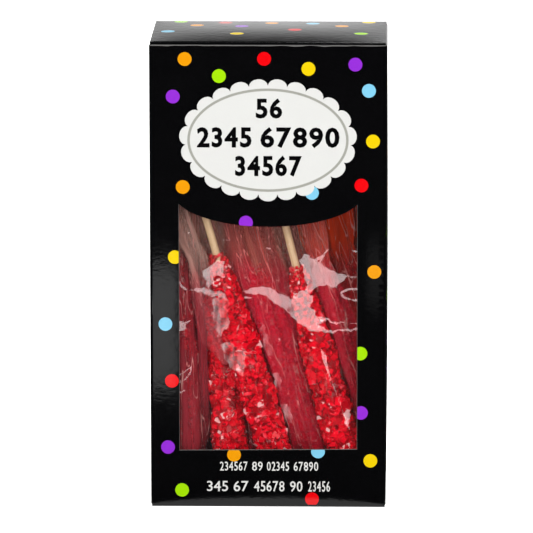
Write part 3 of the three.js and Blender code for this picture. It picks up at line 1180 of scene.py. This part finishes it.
# one sheet of film wound round the stick, past a full turn, with pleats along it
def makeSleeveMesh(name, seed, candy, girth, phase, seam):
    shift = randomShift(seed)
    steps, sides = sleeve["steps"], sleeve["sides"]
    span = 2 * math.pi + sleeve["overlap"]
    around, along = sleeve["pleatNoise"]
    points = []
    for step in range(steps + 1):
        rise = sticks["sleeve"] * step / steps
        wide, deep = sleeveHalves(rise, candy, girth)
        share = (rise - sticks["seal"]) / candy
        inCandy = 0.02 < share < 0.98
        loose = min(1, min(rise, sticks["sleeve"] - rise) / sleeve["calm"])
        for side in range(sides + 1):
            turn = span * side / sides
            angle = seam + turn
            spot = Vector((math.cos(angle) * around, math.sin(angle) * around, rise * along)) + shift
            pleat = noise.noise(spot * 2.2) + 0.5 * noise.noise(spot * 5 + shift)
            spot.z += rise * sleeve["crinkleNoise"]
            crinkle = noise.noise(spot * 2.0) * sleeve["crinkle"][0 if inCandy else 1]
            out = sleeve["slack"] * inCandy + loose * (sleeve["pleats"] * abs(pleat) + crinkle)
            out += sleeve["lift"] * loose * max(0, turn - 2 * math.pi + 0.25) + sleeve["rise"] * side / sides
            swell = lumpiness(angle, rise, phase) if inCandy else 1
            across, back = ((half * swell + out) * mm for half in (wide, deep))
            points.append((across * math.cos(angle), back * math.sin(angle), rise * mm))
    return smoothMesh(name, points, stripFaces(steps + 1, sides + 1))


wings = {
    # stick, side (-1 left), film left over there in mm, height at which it starts
    "places": [
        (1, 1, 4, 16), (2, 1, 7, 12), (3, -1, 9, 62), (3, 1, 8, 16), (4, -1, 13, 16), (4, 1, 11, 30),
        (6, -1, 9, 16), (6, 1, 8, 16), (7, -1, 9, 16), (7, 1, 12, 40), (12, 1, 6, 40),
    ],
    # film at a stick's side, where it isn't the folded one
    "film": {(1, 1): "wrapper_film_dull", (3, -1): "wrapper_film_pale", (7, 1): "wrapper_film_warm",
             (12, 1): "wrapper_film_warm"},
    "high": 173.0,
    "rows": 70,
    "columns": 16,
    "pleat": 0.7,
    "pleatNoise": (0.28, 0.012),    # pace of the pleats' noise across the strip and along it
    "ragged": (0.12, 0.03),         # how much the free edge varies, and its pace
    "taper": (20.0, 0.35),          # length over which the strip gets its width, and its share at the start
    "back": 2.2,            # how far the free edge turns towards the back
    "wallMargin": 1.4,
}


# a strip of slack film that hangs on at one side, in lengthwise pleats
def makeWingMesh(name, seed, side, reach, start, candy, girth, matrix):
    shift = randomShift(seed)
    rows, columns = wings["rows"], wings["columns"]
    (across, along), (ragged, pace), (taper, least) = wings["pleatNoise"], wings["ragged"], wings["taper"]
    points = []
    for row in range(rows + 1):
        rise = start + (wings["high"] - start) * row / rows
        wide = sleeveHalves(rise, candy, girth)[0]
        edge = reach * (1 + ragged * noise.noise(Vector((0, 0, rise * pace)) + shift))
        ends = min(1, (rise - start) / taper + least)
        for column in range(columns + 1):
            share = column / columns
            spot = Vector((share * reach * across, 0, rise * along)) + shift
            pleat = noise.noise(spot * 2.4) + 0.5 * noise.noise(spot * 6)
            x = side * (wide * 0.99 + edge * ends * share)
            y = wings["back"] * share * share + wings["pleat"] * pleat * (0.2 + share)
            point = Vector((x, y, rise)) * mm
            past = abs((matrix @ point).x) - (halfWidth - wings["wallMargin"]) * mm
            point.x -= side * max(past, 0) * 1.05
            points.append(tuple(point))
    return smoothMesh(name, points, stripFaces(rows + 1, columns + 1))


# colour of each facet, with painted light, shade and glints from the tint ramp, and a roughness that changes
# from crystal to crystal
def makeSugarGroup():
    group, given, put = newGroup(
        "sugar",
        [("Cloud", "NodeSocketFloat", 0.3)],
        [("Color", "NodeSocketColor"), ("Roughness", "NodeSocketFloat")],
    )
    facet = addNode(group, "ShaderNodeAttribute", attribute_name="facet")
    cloud = objectNoise(group, sugarLook["cloudSize"], 3, source=uprightPlace(group))
    middle = combine(group, "SUBTRACT", cloud.outputs["Fac"], 0.5)
    place = combine(group, "MULTIPLY_ADD", middle, given.outputs["Cloud"], facet.outputs["Fac"], clamp=True)
    tint = addNode(group, "ShaderNodeValToRGB")
    stops = tint.color_ramp.elements
    stops[0].position, stops[1].position = sugarLook["tintsAndGlints"][0][0], sugarLook["tintsAndGlints"][-1][0]
    for position, colour in sugarLook["tintsAndGlints"][1:-1]:
        stops.new(position)
    for stop, (position, colour) in zip(stops, sugarLook["tintsAndGlints"]):
        stop.color = linear(*colour)
    feed(group, place, tint.inputs["Fac"])
    feed(group, tint.outputs["Color"], put.inputs["Color"])
    about = addNode(group, "ShaderNodeNewGeometry")
    rough = spread(group, about.outputs["Random Per Island"], end=sugarLook["roughness"])
    feed(group, rough, put.inputs["Roughness"])
    return group


def makeSugar():
    material = newMaterial("rock_sugar")
    tree = material.node_tree
    shader = principled(tree, IOR=1.56, Specular_IOR_Level=sugarLook["shine"])
    colours = addNode(tree, "ShaderNodeGroup", node_tree=makeSugarGroup())
    colours.inputs["Cloud"].default_value = sugarLook["cloud"]
    feed(tree, colours.outputs["Color"], shader.inputs["Base Color"])
    feed(tree, colours.outputs["Roughness"], shader.inputs["Roughness"])
    return material


def makeWood():
    material = newMaterial("dowel_wood")
    tree = material.node_tree
    shader = principled(tree, Roughness=woodLook["roughness"])
    grain = objectNoise(tree, 1, 4, woodLook["grain"], uprightPlace(tree))
    shade = addNode(tree, "ShaderNodeValToRGB")
    light = linear(*woodLook["colour"])
    dark, bright = shade.color_ramp.elements
    dark.position, bright.position = woodLook["stops"]
    dark.color = tuple(part * share for part, share in zip(light, woodLook["darker"])) + (1,)
    bright.color = light
    feed(tree, grain.outputs["Fac"], shade.inputs["Fac"])
    feed(tree, shade.outputs["Color"], shader.inputs["Base Color"])
    return material


# films: how much they mirror face on and at a slant, roughness, streaks per metre, strength and colour of the
# veil, and of a wrapper's veil beside the bare stick above the candy, and the strength of the painted
# highlights along its creases. The wrappers' red, pink and orange veils are painted light that the red candy
# throws through and onto the film, and their stronger veils beside the bare stick, paler or orange, are
# painted light in the shade under the lid
foldedFilm = {"facing": 0.014, "edge": 0.2, "roughness": 0.14, "streak": (420, 420, 16), "lineGlint": 0.24}
films = {
    "window_film_clear": {
        "facing": 0.085, "edge": 0.5, "roughness": 0.035, "streak": (60, 60, 30), "haze": 0.004,
        "veil": (240, 235, 235)},
    "wrapper_film": {
        "facing": 0.006, "edge": 0.14, "roughness": 0.09, "streak": (700, 700, 40), "lineGlint": 0.12,
        "haze": 0.004, "veil": (225, 100, 100), "neckHaze": 0.1, "neckVeil": (190, 132, 116)},
    "wrapper_film_folded": {
        **foldedFilm, "haze": 0.34, "veil": (222, 30, 58), "neckHaze": 0.5, "neckVeil": (166, 74, 68)},
    "wrapper_film_pale": {
        **foldedFilm, "haze": 0.34, "veil": (206, 84, 92), "neckHaze": 0.66, "neckVeil": (206, 158, 144)},
    "wrapper_film_dull": {
        **foldedFilm, "haze": 0.7, "veil": (142, 40, 50), "neckHaze": 0.7, "neckVeil": (142, 76, 70)},
    "wrapper_film_warm": {
        **foldedFilm, "haze": 0.4, "veil": (190, 30, 34), "neckHaze": 0.85, "neckVeil": (226, 62, 14)},
}
veils = {
    "clearness": (0.985, 0.985, 0.985, 1),
    "slant": 3.0,               # power by which the mirroring grows towards a slant
    "wander": 0.4,              # how much the streaks bend, and the creases
    "lineWander": 0.8,
    "noise": (0.35, 0.75),      # span of the noise that makes the streaks, and the share of veil there
    "share": (0.55, 1.5),
    "foldScale": 0.55,          # size of the folds' painted light and shade against the streaks
    "foldNoise": (0.35, 0.65),
    "foldShade": (0.62, 1.14),
    "neck": (0.094, 0.112),     # metres up the wrapper between which its veil changes
    "line": (214, 150, 144),    # painted highlights along thin creases: colour, pattern per metre and width
    "lineScale": (230, 230, 24),
    "lineWidth": 0.014,
    # film of a stick by its number, where it isn't the folded one
    "ofStick": {
        1: "wrapper_film_dull", 2: "wrapper_film", 3: "wrapper_film", 4: "wrapper_film",
        5: "wrapper_film_dull", 7: "wrapper_film_warm", 12: "wrapper_film_warm", 18: "wrapper_film_warm",
    },
}


# film that lets light through, mirrors more at a slant, and veils what is behind it a little
def makeClearFilm(name):
    look = films[name]
    material = newMaterial(name)
    tree = material.node_tree
    through = addNode(tree, "ShaderNodeBsdfTransparent")
    through.inputs["Color"].default_value = veils["clearness"]
    gloss = addNode(tree, "ShaderNodeBsdfPrincipled")
    gloss.inputs["Base Color"].default_value = (1, 1, 1, 1)
    gloss.inputs["Metallic"].default_value = 1.0
    gloss.inputs["Roughness"].default_value = look["roughness"]
    slant = addNode(tree, "ShaderNodeLayerWeight")
    slant.inputs["Blend"].default_value = 0.5
    curve = combine(tree, "POWER", slant.outputs["Facing"], veils["slant"])
    amount = combine(tree, "MULTIPLY_ADD", curve, look["edge"], look["facing"])
    mirror = mixShaders(tree, amount, through.outputs[0], gloss.outputs[0])
    veil = addNode(tree, "ShaderNodeBsdfDiffuse")
    veil.inputs["Color"].default_value = linear(*look["veil"])
    streaks = objectNoise(tree, 1, 2, look["streak"], uprightPlace(tree))
    streaks.inputs["Distortion"].default_value = veils["wander"]
    cover = spread(tree, streaks.outputs["Fac"], veils["noise"], veils["share"])
    if "neckVeil" in look:
        aboveCandy, line = neckShare(tree), creaseGlints(tree)
        feed(tree, veilColour(tree, look, aboveCandy, line), veil.inputs["Color"])
        haze = spread(tree, aboveCandy, end=(look["haze"], look["neckHaze"]))
        strength = combine(tree, "MULTIPLY", cover, haze, clamp=True)
        # the painted crease highlights also thicken the veil along their lines
        strength = combine(tree, "MULTIPLY_ADD", line, look["lineGlint"], strength, clamp=True)
    else:
        strength = combine(tree, "MULTIPLY", cover, look["haze"], clamp=True)
    output = addNode(tree, "ShaderNodeOutputMaterial")
    feed(tree, mixShaders(tree, strength, mirror, veil.outputs[0]), output.inputs["Surface"])
    return material


# colour of a wrapper's veil, painted light from the red candy, with painted light and shade on the folds and
# painted highlights along the creases
def veilColour(tree, look, aboveCandy, line):
    tint = addNode(tree, "ShaderNodeMix", data_type="RGBA")
    tint.inputs["A"].default_value = linear(*look["veil"])
    tint.inputs["B"].default_value = linear(*look["neckVeil"])
    feed(tree, aboveCandy, tint.inputs["Factor"])
    size = tuple(veils["foldScale"] * part for part in look["streak"])
    fold = objectNoise(tree, 1, 2, size, uprightPlace(tree))
    shade = spread(tree, fold.outputs["Fac"], veils["foldNoise"], veils["foldShade"])
    lined = addNode(tree, "ShaderNodeMix", data_type="RGBA")
    lined.inputs["B"].default_value = linear(*veils["line"])
    feed(tree, line, lined.inputs["Factor"])
    feed(tree, shaded(tree, tint.outputs["Result"], shade), lined.inputs["A"])
    return lined.outputs["Result"]


# thin pale lines along a wrapper, painted highlights of its creases, where a slow stretched noise crosses its
# middle value
def creaseGlints(tree):
    wave = objectNoise(tree, 1, 2, veils["lineScale"], uprightPlace(tree))
    wave.inputs["Distortion"].default_value = veils["lineWander"]
    away = combine(tree, "ABSOLUTE", combine(tree, "SUBTRACT", wave.outputs["Fac"], 0.5))
    return spread(tree, away, (0, veils["lineWidth"]), (1, 0))


# 0 beside the candy, 1 beside the bare stick above it
def neckShare(tree):
    axes = addNode(tree, "ShaderNodeSeparateXYZ")
    feed(tree, uprightPlace(tree), axes.inputs[0])
    return spread(tree, axes.outputs["Z"], veils["neck"], kind="SMOOTHSTEP")


sugar, wood = makeSugar(), makeWood()
wrappers = {name: makeClearFilm(name) for name in films if name.startswith("wrapper")}


def stickMatrix(row, foot, lean, tilt, spin):
    lift = sticks["lift"] + sticks["sealHalf"][0] * math.sin(math.radians(lean))
    turn = (Matrix.Rotation(-math.radians(tilt), 4, "X") @ Matrix.Rotation(-math.radians(lean), 4, "Y")
            @ Matrix.Rotation(math.radians(spin), 4, "Z"))
    return Matrix.Translation(Vector((foot, sticks["rows"][row], lift)) * mm) @ turn


# puts a mesh in its place, and keeps each point's place before that for the patterns
def addPart(name, mesh, material, matrix, node):
    mesh.materials.append(material)
    places = np.empty(len(mesh.vertices) * 3, np.float32)
    mesh.vertices.foreach_get("co", places)
    mesh.attributes.new("uprightPlace", "FLOAT_VECTOR", "POINT").data.foreach_set("vector", places)
    mesh.transform(matrix)
    piece = bpy.data.objects.new(name, mesh)
    bpy.context.scene.collection.objects.link(piece)
    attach(piece, "root")
    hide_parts(node)
    return piece


def makeSticks():
    for number, (row, foot, lean, tilt, spin, girth, candy) in enumerate(sticks["places"], 1):
        matrix = stickMatrix(row, foot, lean, tilt, spin)
        label = f"stick_{number:02d}"
        node = f"wrapped_stick_{number:02d}"
        phase, seam = number * sticks["phaseStep"], number * sleeve["seamStep"]
        crystals = makeCandyMesh(label + "_candy", number, candy, girth, phase, sticks["crystals"][row])
        addPart(label + "_candy", crystals, sugar, matrix, node)
        addPart(label + "_dowel", makeDowelMesh(label + "_dowel", candy), wood, matrix, node)
        film = makeSleeveMesh(label + "_film", number, candy, girth, phase, seam)
        kind = veils["ofStick"].get(number, "wrapper_film_folded")
        addPart(label + "_film", film, wrappers[kind], matrix, node)
        for stick, side, reach, start in wings["places"]:
            if stick == number:
                name = label + ("_film_left" if side < 0 else "_film_right")
                kind = wings["film"].get((stick, side), "wrapper_film_folded")
                seed = number * 2 + side
                wing = makeWingMesh(name, seed, side, reach, start, candy, girth, matrix)
                addPart(name, wing, wrappers[kind], matrix, node)


makeSticks()
print("sticks wrapped")


# clear sheet behind the window, with the waves that catch the light
windowSheet = {
    "spacing": 0.55,
    "tilt": 10.0,           # degrees that a wave's lit side leans back
    "ripple": 0.8,          # degrees of the small unevenness everywhere, up and down
    "sideRipple": 0.35,     # and from side to side
    "streaks": 0.09,        # share by which a lit side varies in upright streaks
    "streakLength": 9,      # in streak widths
    "swell": 0.25,          # depth of the broad waves, in mm
    "wander": 0.5,          # how far the patches' edges wander, in mm
    "level": -0.6,          # degrees by which the sheet leans where no wave is
    "soft": (0.8, 0.45),    # width of the edge of a patch and of a crease, in mm
    # unevenness: seed, number of waves, shortest and longest in mm
    "waves": {"swell": (5, 6, 18, 60), "wanderX": (8, 5, 3, 9), "wanderZ": (9, 5, 3, 9),
              "streaks": (14, 7, 0.9, 3.5), "up": (11, 8, 4, 22), "aside": (12, 8, 4, 22)},
    # lit sides of the waves as outlines in x and z, each with its strength
    "patches": [
        (0.9, [(-35.7, 96.1), (-25.8, 96.3), (-21.7, 95), (-16.4, 92.8), (-16.8, 91.1), (-23.1, 92.5),
               (-30.8, 94.9)]),
        (0.72, [(-24.8, 92.2), (-16.8, 91.8), (-16.4, 80.7), (-18.9, 77.9), (-20.6, 73.4), (-23.4, 80.7)]),
        (0.77, [(-20.6, 72.8), (-16.1, 72.7), (-12.6, 70.7), (-9.7, 70.3), (-9.7, 57.9), (-11.1, 57.2),
                (-16.8, 61.4), (-19.6, 66.4)]),
        (1, [(-10.8, 95), (-6.9, 97), (-1.4, 97.5), (2.8, 96.1), (6.3, 93.9), (9.4, 91.8), (13.3, 95),
             (16.1, 95.4), (19.3, 93.6), (18.9, 88.6), (21, 85.7), (27.2, 82.5), (33.5, 81.5), (40, 82.1),
             (40, 81.1), (32.8, 80.7), (25.2, 81.6), (22.8, 81), (22.4, 79.7), (25.2, 78.6), (31.4, 78.2),
             (40, 79.9), (40, 78.6), (32.8, 77.3), (23.1, 77.1), (17.5, 77.9), (11.9, 82.1), (8.4, 86.1),
             (2.1, 90), (-2.8, 93.9), (-9, 94.1)]),
        (1, [(14.7, 110.4), (16.1, 111.1), (18.9, 110.8), (23.1, 106.9), (30.1, 103.7), (33.5, 102.4),
             (40, 102.5), (40, 101.6), (34.2, 101.3), (31.4, 99.3), (30, 97.5), (26.6, 97.2), (23.1, 97.3),
             (19.6, 97.2), (18.2, 95), (15.4, 93.6), (16.1, 99.3), (14.7, 105.1), (14, 108.6)]),
        (0.9, [(-39.7, 81.9), (-33.1, 82.7), (-34.9, 78.6), (-36.6, 77), (-39.7, 77.6)]),
        (0.68, [(-3.8, 81.7), (-1.7, 80.7), (0.7, 74.3), (2.1, 70.7), (4.5, 67.5), (1.5, 66.4), (-0.6, 65.4),
                (-2, 68.6), (-2.7, 73.6)]),
        (0.72, [(2.2, 59.9), (4.5, 59.6), (6.3, 54.3), (5.9, 50.7), (4.2, 49.3), (2.5, 52.8)]),
        (0.72, [(4.9, 46.4), (8.4, 45.7), (12.2, 39.3), (10.5, 37.2), (6.6, 35.4), (5.6, 40.8)]),
        (0.85, [(-28.7, 103.7), (-25.9, 106.5), (-22.4, 108.2), (-18.9, 107.9), (-18.9, 101.5),
                (-23.1, 101.5), (-25.2, 95), (-26.2, 97.9), (-28, 101.5)]),
    ],
    # creases: strength, then points as x, z and half the width there
    "creases": [
        (1, [(-38.3, 99.4, 0.5), (-37.1, 97, 0.6), (-35.2, 95.8, 0.5)]),
        (1, [(39, 96.2, 0.5), (34.2, 96.1, 0.6), (31.4, 94.8, 0.6), (32.1, 92.9, 0.6), (35.6, 91.6, 0.5),
             (39, 91.3, 0.5)]),
        (1, [(19.6, 108.2, 0.8), (22.1, 109.9, 0.7), (23.6, 111.1, 0.4), (25.9, 113.7, 0.3)]),
        (1, [(21.6, 107, 0.5), (24.3, 111.2, 0.3)]),
        (1, [(22.4, 70.7, 0.2), (24.2, 66.4, 1.1), (24.9, 62.8, 0.8), (27.2, 55.7, 0.4), (30.7, 47.2, 0.35),
             (33.2, 39.3, 0.35), (33.5, 37.2, 0.8), (35.1, 35, 0.3), (35.3, 32.2, 0.15)]),
        (1, [(-38.4, 57.9, 0.35), (-35.6, 59.9, 0.35), (-33.3, 61.7, 0.35), (-33.5, 59.3, 0.35),
             (-35.6, 56.4, 0.3), (-38.4, 54.6, 0.3)]),
        (1, [(-38.4, 50.2, 0.4), (-35.8, 51.7, 0.3)]),
        (1, [(-0.5, 114.5, 0.3), (0.9, 113.7, 0.5)]),
        (1, [(-9.8, 92.4, 0.6), (-7.2, 92.1, 0.4)]),
        (1, [(36, 112.9, 0.3), (38, 112.7, 0.5)]),
        (1, [(-34.8, 120.6, 0.3), (-33.8, 120.5, 0.4)]),
        (1, [(4.8, 74.4, 0.7), (5, 73.6, 0.7)]),
        (0.74, [(4.8, 123, 0.2), (7.6, 117.5, 0.25), (8.8, 110.5, 0.2), (11.5, 99.8, 0.15)]),
        (0.72, [(10.4, 123, 0.2), (8.4, 112.2, 0.2), (9.6, 106.8, 0.25), (12, 98, 0.15)]),
        (0.72, [(29.3, 124.5, 0.25), (28.6, 114, 0.2)]),
        (0.7, [(33.5, 121, 0.2), (37, 113, 0.2), (40, 105, 0.2)]),
        (0.7, [(-14.5, 118, 0.2), (-11.5, 112, 0.3), (-13, 106, 0.2), (-9.5, 101, 0.15)]),
        (0.74, [(-19.5, 117.5, 0.35), (-16.2, 117.4, 0.3)]),
        (0.7, [(-2.2, 121, 0.2), (-0.4, 112, 0.3), (1.8, 102, 0.25), (2.2, 96, 0.15)]),
        (0.68, [(-28.6, 95, 0.3), (-24, 84, 0.4), (-20.9, 72, 0.3), (-17, 60, 0.2)]),
    ],
}


# 1 past an edge and 0 before it, by the distance past it
def softEdge(distance, soft):
    share = np.clip(distance / soft + 0.5, 0, 1)
    return share * share * (3 - 2 * share)


# 1 well inside the outline and 0 outside it, for arrays of places
def outlineShare(x, z, outline, soft):
    inside = np.zeros(x.shape, bool)
    nearest = np.full(x.shape, 1e9)
    for (x0, z0), (x1, z1) in zip(outline, outline[1:] + outline[:1]):
        crosses = ((z0 > z) != (z1 > z)) & (x < (x1 - x0) * (z - z0) / (z1 - z0 + 1e-12) + x0)
        inside ^= crosses
        nearest = np.minimum(nearest, segmentDistance(x, z, x0, z0, x1, z1)[0])
    return softEdge(np.where(inside, nearest, -nearest), soft)


# distance of places from a straight piece, and the share of it at which they are nearest
def segmentDistance(x, z, x0, z0, x1, z1):
    length = max((x1 - x0) ** 2 + (z1 - z0) ** 2, 1e-9)
    along = np.clip(((x - x0) * (x1 - x0) + (z - z0) * (z1 - z0)) / length, 0, 1)
    return np.hypot(x - x0 - along * (x1 - x0), z - z0 - along * (z1 - z0)), along


def creaseShare(x, z, crease, soft):
    best = np.zeros(x.shape)
    for (x0, z0, w0), (x1, z1, w1) in zip(crease, crease[1:]):
        distance, along = segmentDistance(x, z, x0, z0, x1, z1)
        best = np.maximum(best, softEdge(w0 + (w1 - w0) * along - distance, soft))
    return best


# a sum of waves in seeded directions, between about -1 and 1
def smoothWaves(x, z, kind):
    seed, count, low, high = windowSheet["waves"][kind]
    generator = np.random.default_rng(seed)
    total = np.zeros(x.shape)
    for wave in range(count):
        turn, phase = generator.uniform(0, math.pi), generator.uniform(0, 2 * math.pi)
        pitch = generator.uniform(low, high)
        total += np.sin(2 * math.pi * (x * math.cos(turn) + z * math.sin(turn)) / pitch + phase)
    return total / math.sqrt(count)


def makeWindowSheet():
    low, high = (np.array(corner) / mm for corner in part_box("window_film"))
    columns = round((high[0] - low[0]) / windowSheet["spacing"])
    rows = round((high[2] - low[2]) / windowSheet["spacing"])
    x, z = np.meshgrid(np.linspace(low[0], high[0], columns + 1), np.linspace(low[2], high[2], rows + 1))
    middle = (low[1] + high[1]) / 2
    y = middle + windowSheet["swell"] * 0.5 * smoothWaves(x, z, "swell")
    bend = x + windowSheet["wander"] * smoothWaves(x, z, "wanderX")
    lift = z + windowSheet["wander"] * smoothWaves(x, z, "wanderZ")
    lit = np.zeros(x.shape)
    patchSoft, creaseSoft = windowSheet["soft"]
    for strength, outline in windowSheet["patches"]:
        lit = np.maximum(lit, strength * outlineShare(bend, lift, outline, patchSoft))
    for strength, crease in windowSheet["creases"]:
        lit = np.maximum(lit, strength * creaseShare(x, z, crease, creaseSoft))
    streaks = np.clip(smoothWaves(x, z / windowSheet["streakLength"], "streaks"), -1, 1)
    lit *= 1 - windowSheet["streaks"] * streaks
    unit = math.radians(1)
    ripple = windowSheet["ripple"] * smoothWaves(x, z, "up")
    up = unit * (windowSheet["tilt"] * lit + ripple + windowSheet["level"])
    aside = unit * windowSheet["sideRipple"] * smoothWaves(x, z, "aside")
    normals = np.stack([aside, -np.ones(x.shape), up], -1).reshape(-1, 3)
    normals /= np.linalg.norm(normals, axis=1, keepdims=True)
    points = np.stack([x, y, z], -1).reshape(-1, 3) * mm
    mesh = smoothMesh("window_sheet", points.tolist(), stripFaces(rows + 1, columns + 1))
    mesh.normals_split_custom_set_from_vertices(normals.tolist())
    film = makeClearFilm("window_film_clear")
    addPart("window_sheet", mesh, film, Matrix.Identity(4), "window_film")


makeWindowSheet()
print("window sheet waved")


# studio: bands of light, their edges as heights and sides of a direction of length 1
studio = {
    "backdrop": 1.0,        # mirrored by the lid
    "backdropEdge": (0.222, 0.09),
    "frontBand": 3.6,       # mirrored by the window sheet
    "frontBandEdge": (-0.03, 0.1),
    "frontBandTop": (0.2, 0.15),
    "frontBandSide": (0.85, 0.55),
    "ahead": 0.3,           # how far forward or back a direction points where its band is full
    "ambient": 0.02,
    "diffuse": 0.35,        # even light for matt surfaces
}


def makeWorld():
    world = bpy.data.worlds.new("studio")
    bpy.context.scene.world = world
    world.use_nodes = True
    tree = world.node_tree
    tree.nodes.clear()
    seen, room, soft = (addNode(tree, "ShaderNodeBackground") for which in range(3))
    for background in (seen, room, soft):
        background.inputs["Color"].default_value = (1, 1, 1, 1)
    soft.inputs["Strength"].default_value = studio["diffuse"]
    direction = addNode(tree, "ShaderNodeTexCoord")
    axes = addNode(tree, "ShaderNodeSeparateXYZ")
    feed(tree, direction.outputs["Generated"], axes.inputs[0])

    def edge(source, span):
        return spread(tree, source, span, kind="SMOOTHSTEP")

    def product(first, *others):
        for other in others:
            first = combine(tree, "MULTIPLY", first, other)
        return first

    x, y, z = axes.outputs
    behind = product(edge(y, (0, studio["ahead"])), edge(z, studio["backdropEdge"]), studio["backdrop"])
    before = product(
        edge(y, (0, -studio["ahead"])), edge(z, studio["frontBandEdge"]), edge(z, studio["frontBandTop"]),
        edge(combine(tree, "ABSOLUTE", x), studio["frontBandSide"]), studio["frontBand"])
    strength = combine(tree, "ADD", combine(tree, "ADD", behind, before), studio["ambient"])
    feed(tree, strength, room.inputs["Strength"])
    path = addNode(tree, "ShaderNodeLightPath")
    pick = mixShaders(tree, path.outputs["Is Diffuse Ray"], room.outputs[0], soft.outputs[0])
    output = addNode(tree, "ShaderNodeOutputWorld")
    shown = mixShaders(tree, path.outputs["Is Camera Ray"], pick, seen.outputs[0])
    feed(tree, shown, output.inputs["Surface"])


# name, place, aim and size in metres, power in watts, whether smooth things mirror it
lamps = [
    ("key", (-0.9, -1.6, 1.5), (0, 0, 0.1), (1.0, 1.0), 26, False),
    ("fill", (1.1, -1.6, 0.9), (0, 0, 0.1), (0.9, 0.9), 13, False),
    ("overhead", (0, 0.1, 1.8), (0, 0, 0), (1.2, 1.2), 21, False),
    ("backFill", (0.5, 1.7, 1.1), (0, 0, 0.1), (1.0, 1.0), 14, True),
    ("leftCard", (-0.0655, -0.232, 0.0373), (-0.0655, 0, 0.0373), (0.031, 0.0606), 0.007, True),
    ("rightCard", (0.0655, -0.232, 0.0625), (0.0655, 0, 0.0625), (0.031, 0.031), 0.0006, True),
]


def addSoftbox(name, place, aim, size, power, mirrored):
    data = bpy.data.lights.new(name, "AREA")
    data.shape = "RECTANGLE"
    data.size, data.size_y = size
    data.energy = power
    lamp = bpy.data.objects.new(name, data)
    lamp.location = place
    lamp.rotation_euler = (Vector(aim) - Vector(place)).to_track_quat("-Z", "Y").to_euler()
    lamp.visible_glossy = mirrored
    lamp.visible_camera = False
    bpy.context.scene.collection.objects.link(lamp)


floorValues = {
    "reach": 3.0,
    "pale": (0.8, 0.8, 0.8, 1),
    "dark": (0.02, 0.02, 0.02, 1),      # what the varnished board mirrors of it, farther off
    "nearHalf": (80.0, 49.0),           # oval round the carton that the board mirrors brighter
    "nearEdge": (1.03, 0.97),
    "nearGlow": 0.85,
}


def makeFloor():
    mesh = bpy.data.meshes.new("floor")
    reach = floorValues["reach"]
    corners = [(-reach, -reach, 0), (reach, -reach, 0), (reach, reach, 0), (-reach, reach, 0)]
    mesh.from_pydata(corners, [], [(0, 1, 2, 3)])
    floor = bpy.data.objects.new("floor", mesh)
    bpy.context.scene.collection.objects.link(floor)
    material = newMaterial("floor")
    tree = material.node_tree
    plain, dark = (addNode(tree, "ShaderNodeBsdfDiffuse") for which in range(2))
    plain.inputs["Color"].default_value = floorValues["pale"]
    dark.inputs["Color"].default_value = floorValues["dark"]
    glow, nearGlow = (addNode(tree, "ShaderNodeEmission") for which in range(2))
    nearGlow.inputs["Strength"].default_value = floorValues["nearGlow"]
    lit = addNode(tree, "ShaderNodeAddShader")
    feed(tree, plain.outputs[0], lit.inputs[0])
    feed(tree, glow.outputs[0], lit.inputs[1])
    place = addNode(tree, "ShaderNodeTexCoord")
    squeeze = addNode(tree, "ShaderNodeMapping")
    across, deep = floorValues["nearHalf"]
    squeeze.inputs["Scale"].default_value = (1 / (across * mm), 1 / (deep * mm), 1)
    feed(tree, place.outputs["Object"], squeeze.inputs["Vector"])
    distance = addNode(tree, "ShaderNodeVectorMath", operation="LENGTH")
    feed(tree, squeeze.outputs["Vector"], distance.inputs[0])
    near = spread(tree, distance.outputs["Value"], floorValues["nearEdge"], kind="SMOOTHSTEP")
    mirrored = mixShaders(tree, near, dark.outputs[0], nearGlow.outputs[0])
    path = addNode(tree, "ShaderNodeLightPath")
    pick = mixShaders(tree, path.outputs["Is Glossy Ray"], plain.outputs[0], mirrored)
    output = addNode(tree, "ShaderNodeOutputMaterial")
    shown = mixShaders(tree, path.outputs["Is Camera Ray"], pick, lit.outputs[0])
    feed(tree, shown, output.inputs["Surface"])
    mesh.materials.append(material)


makeWorld()
makeFloor()
for lampValues in lamps:
    addSoftbox(*lampValues)
bpy.context.scene.view_settings.view_transform = "Standard"
bpy.context.scene.cycles.transparent_max_bounces = 32
print("studio lit")
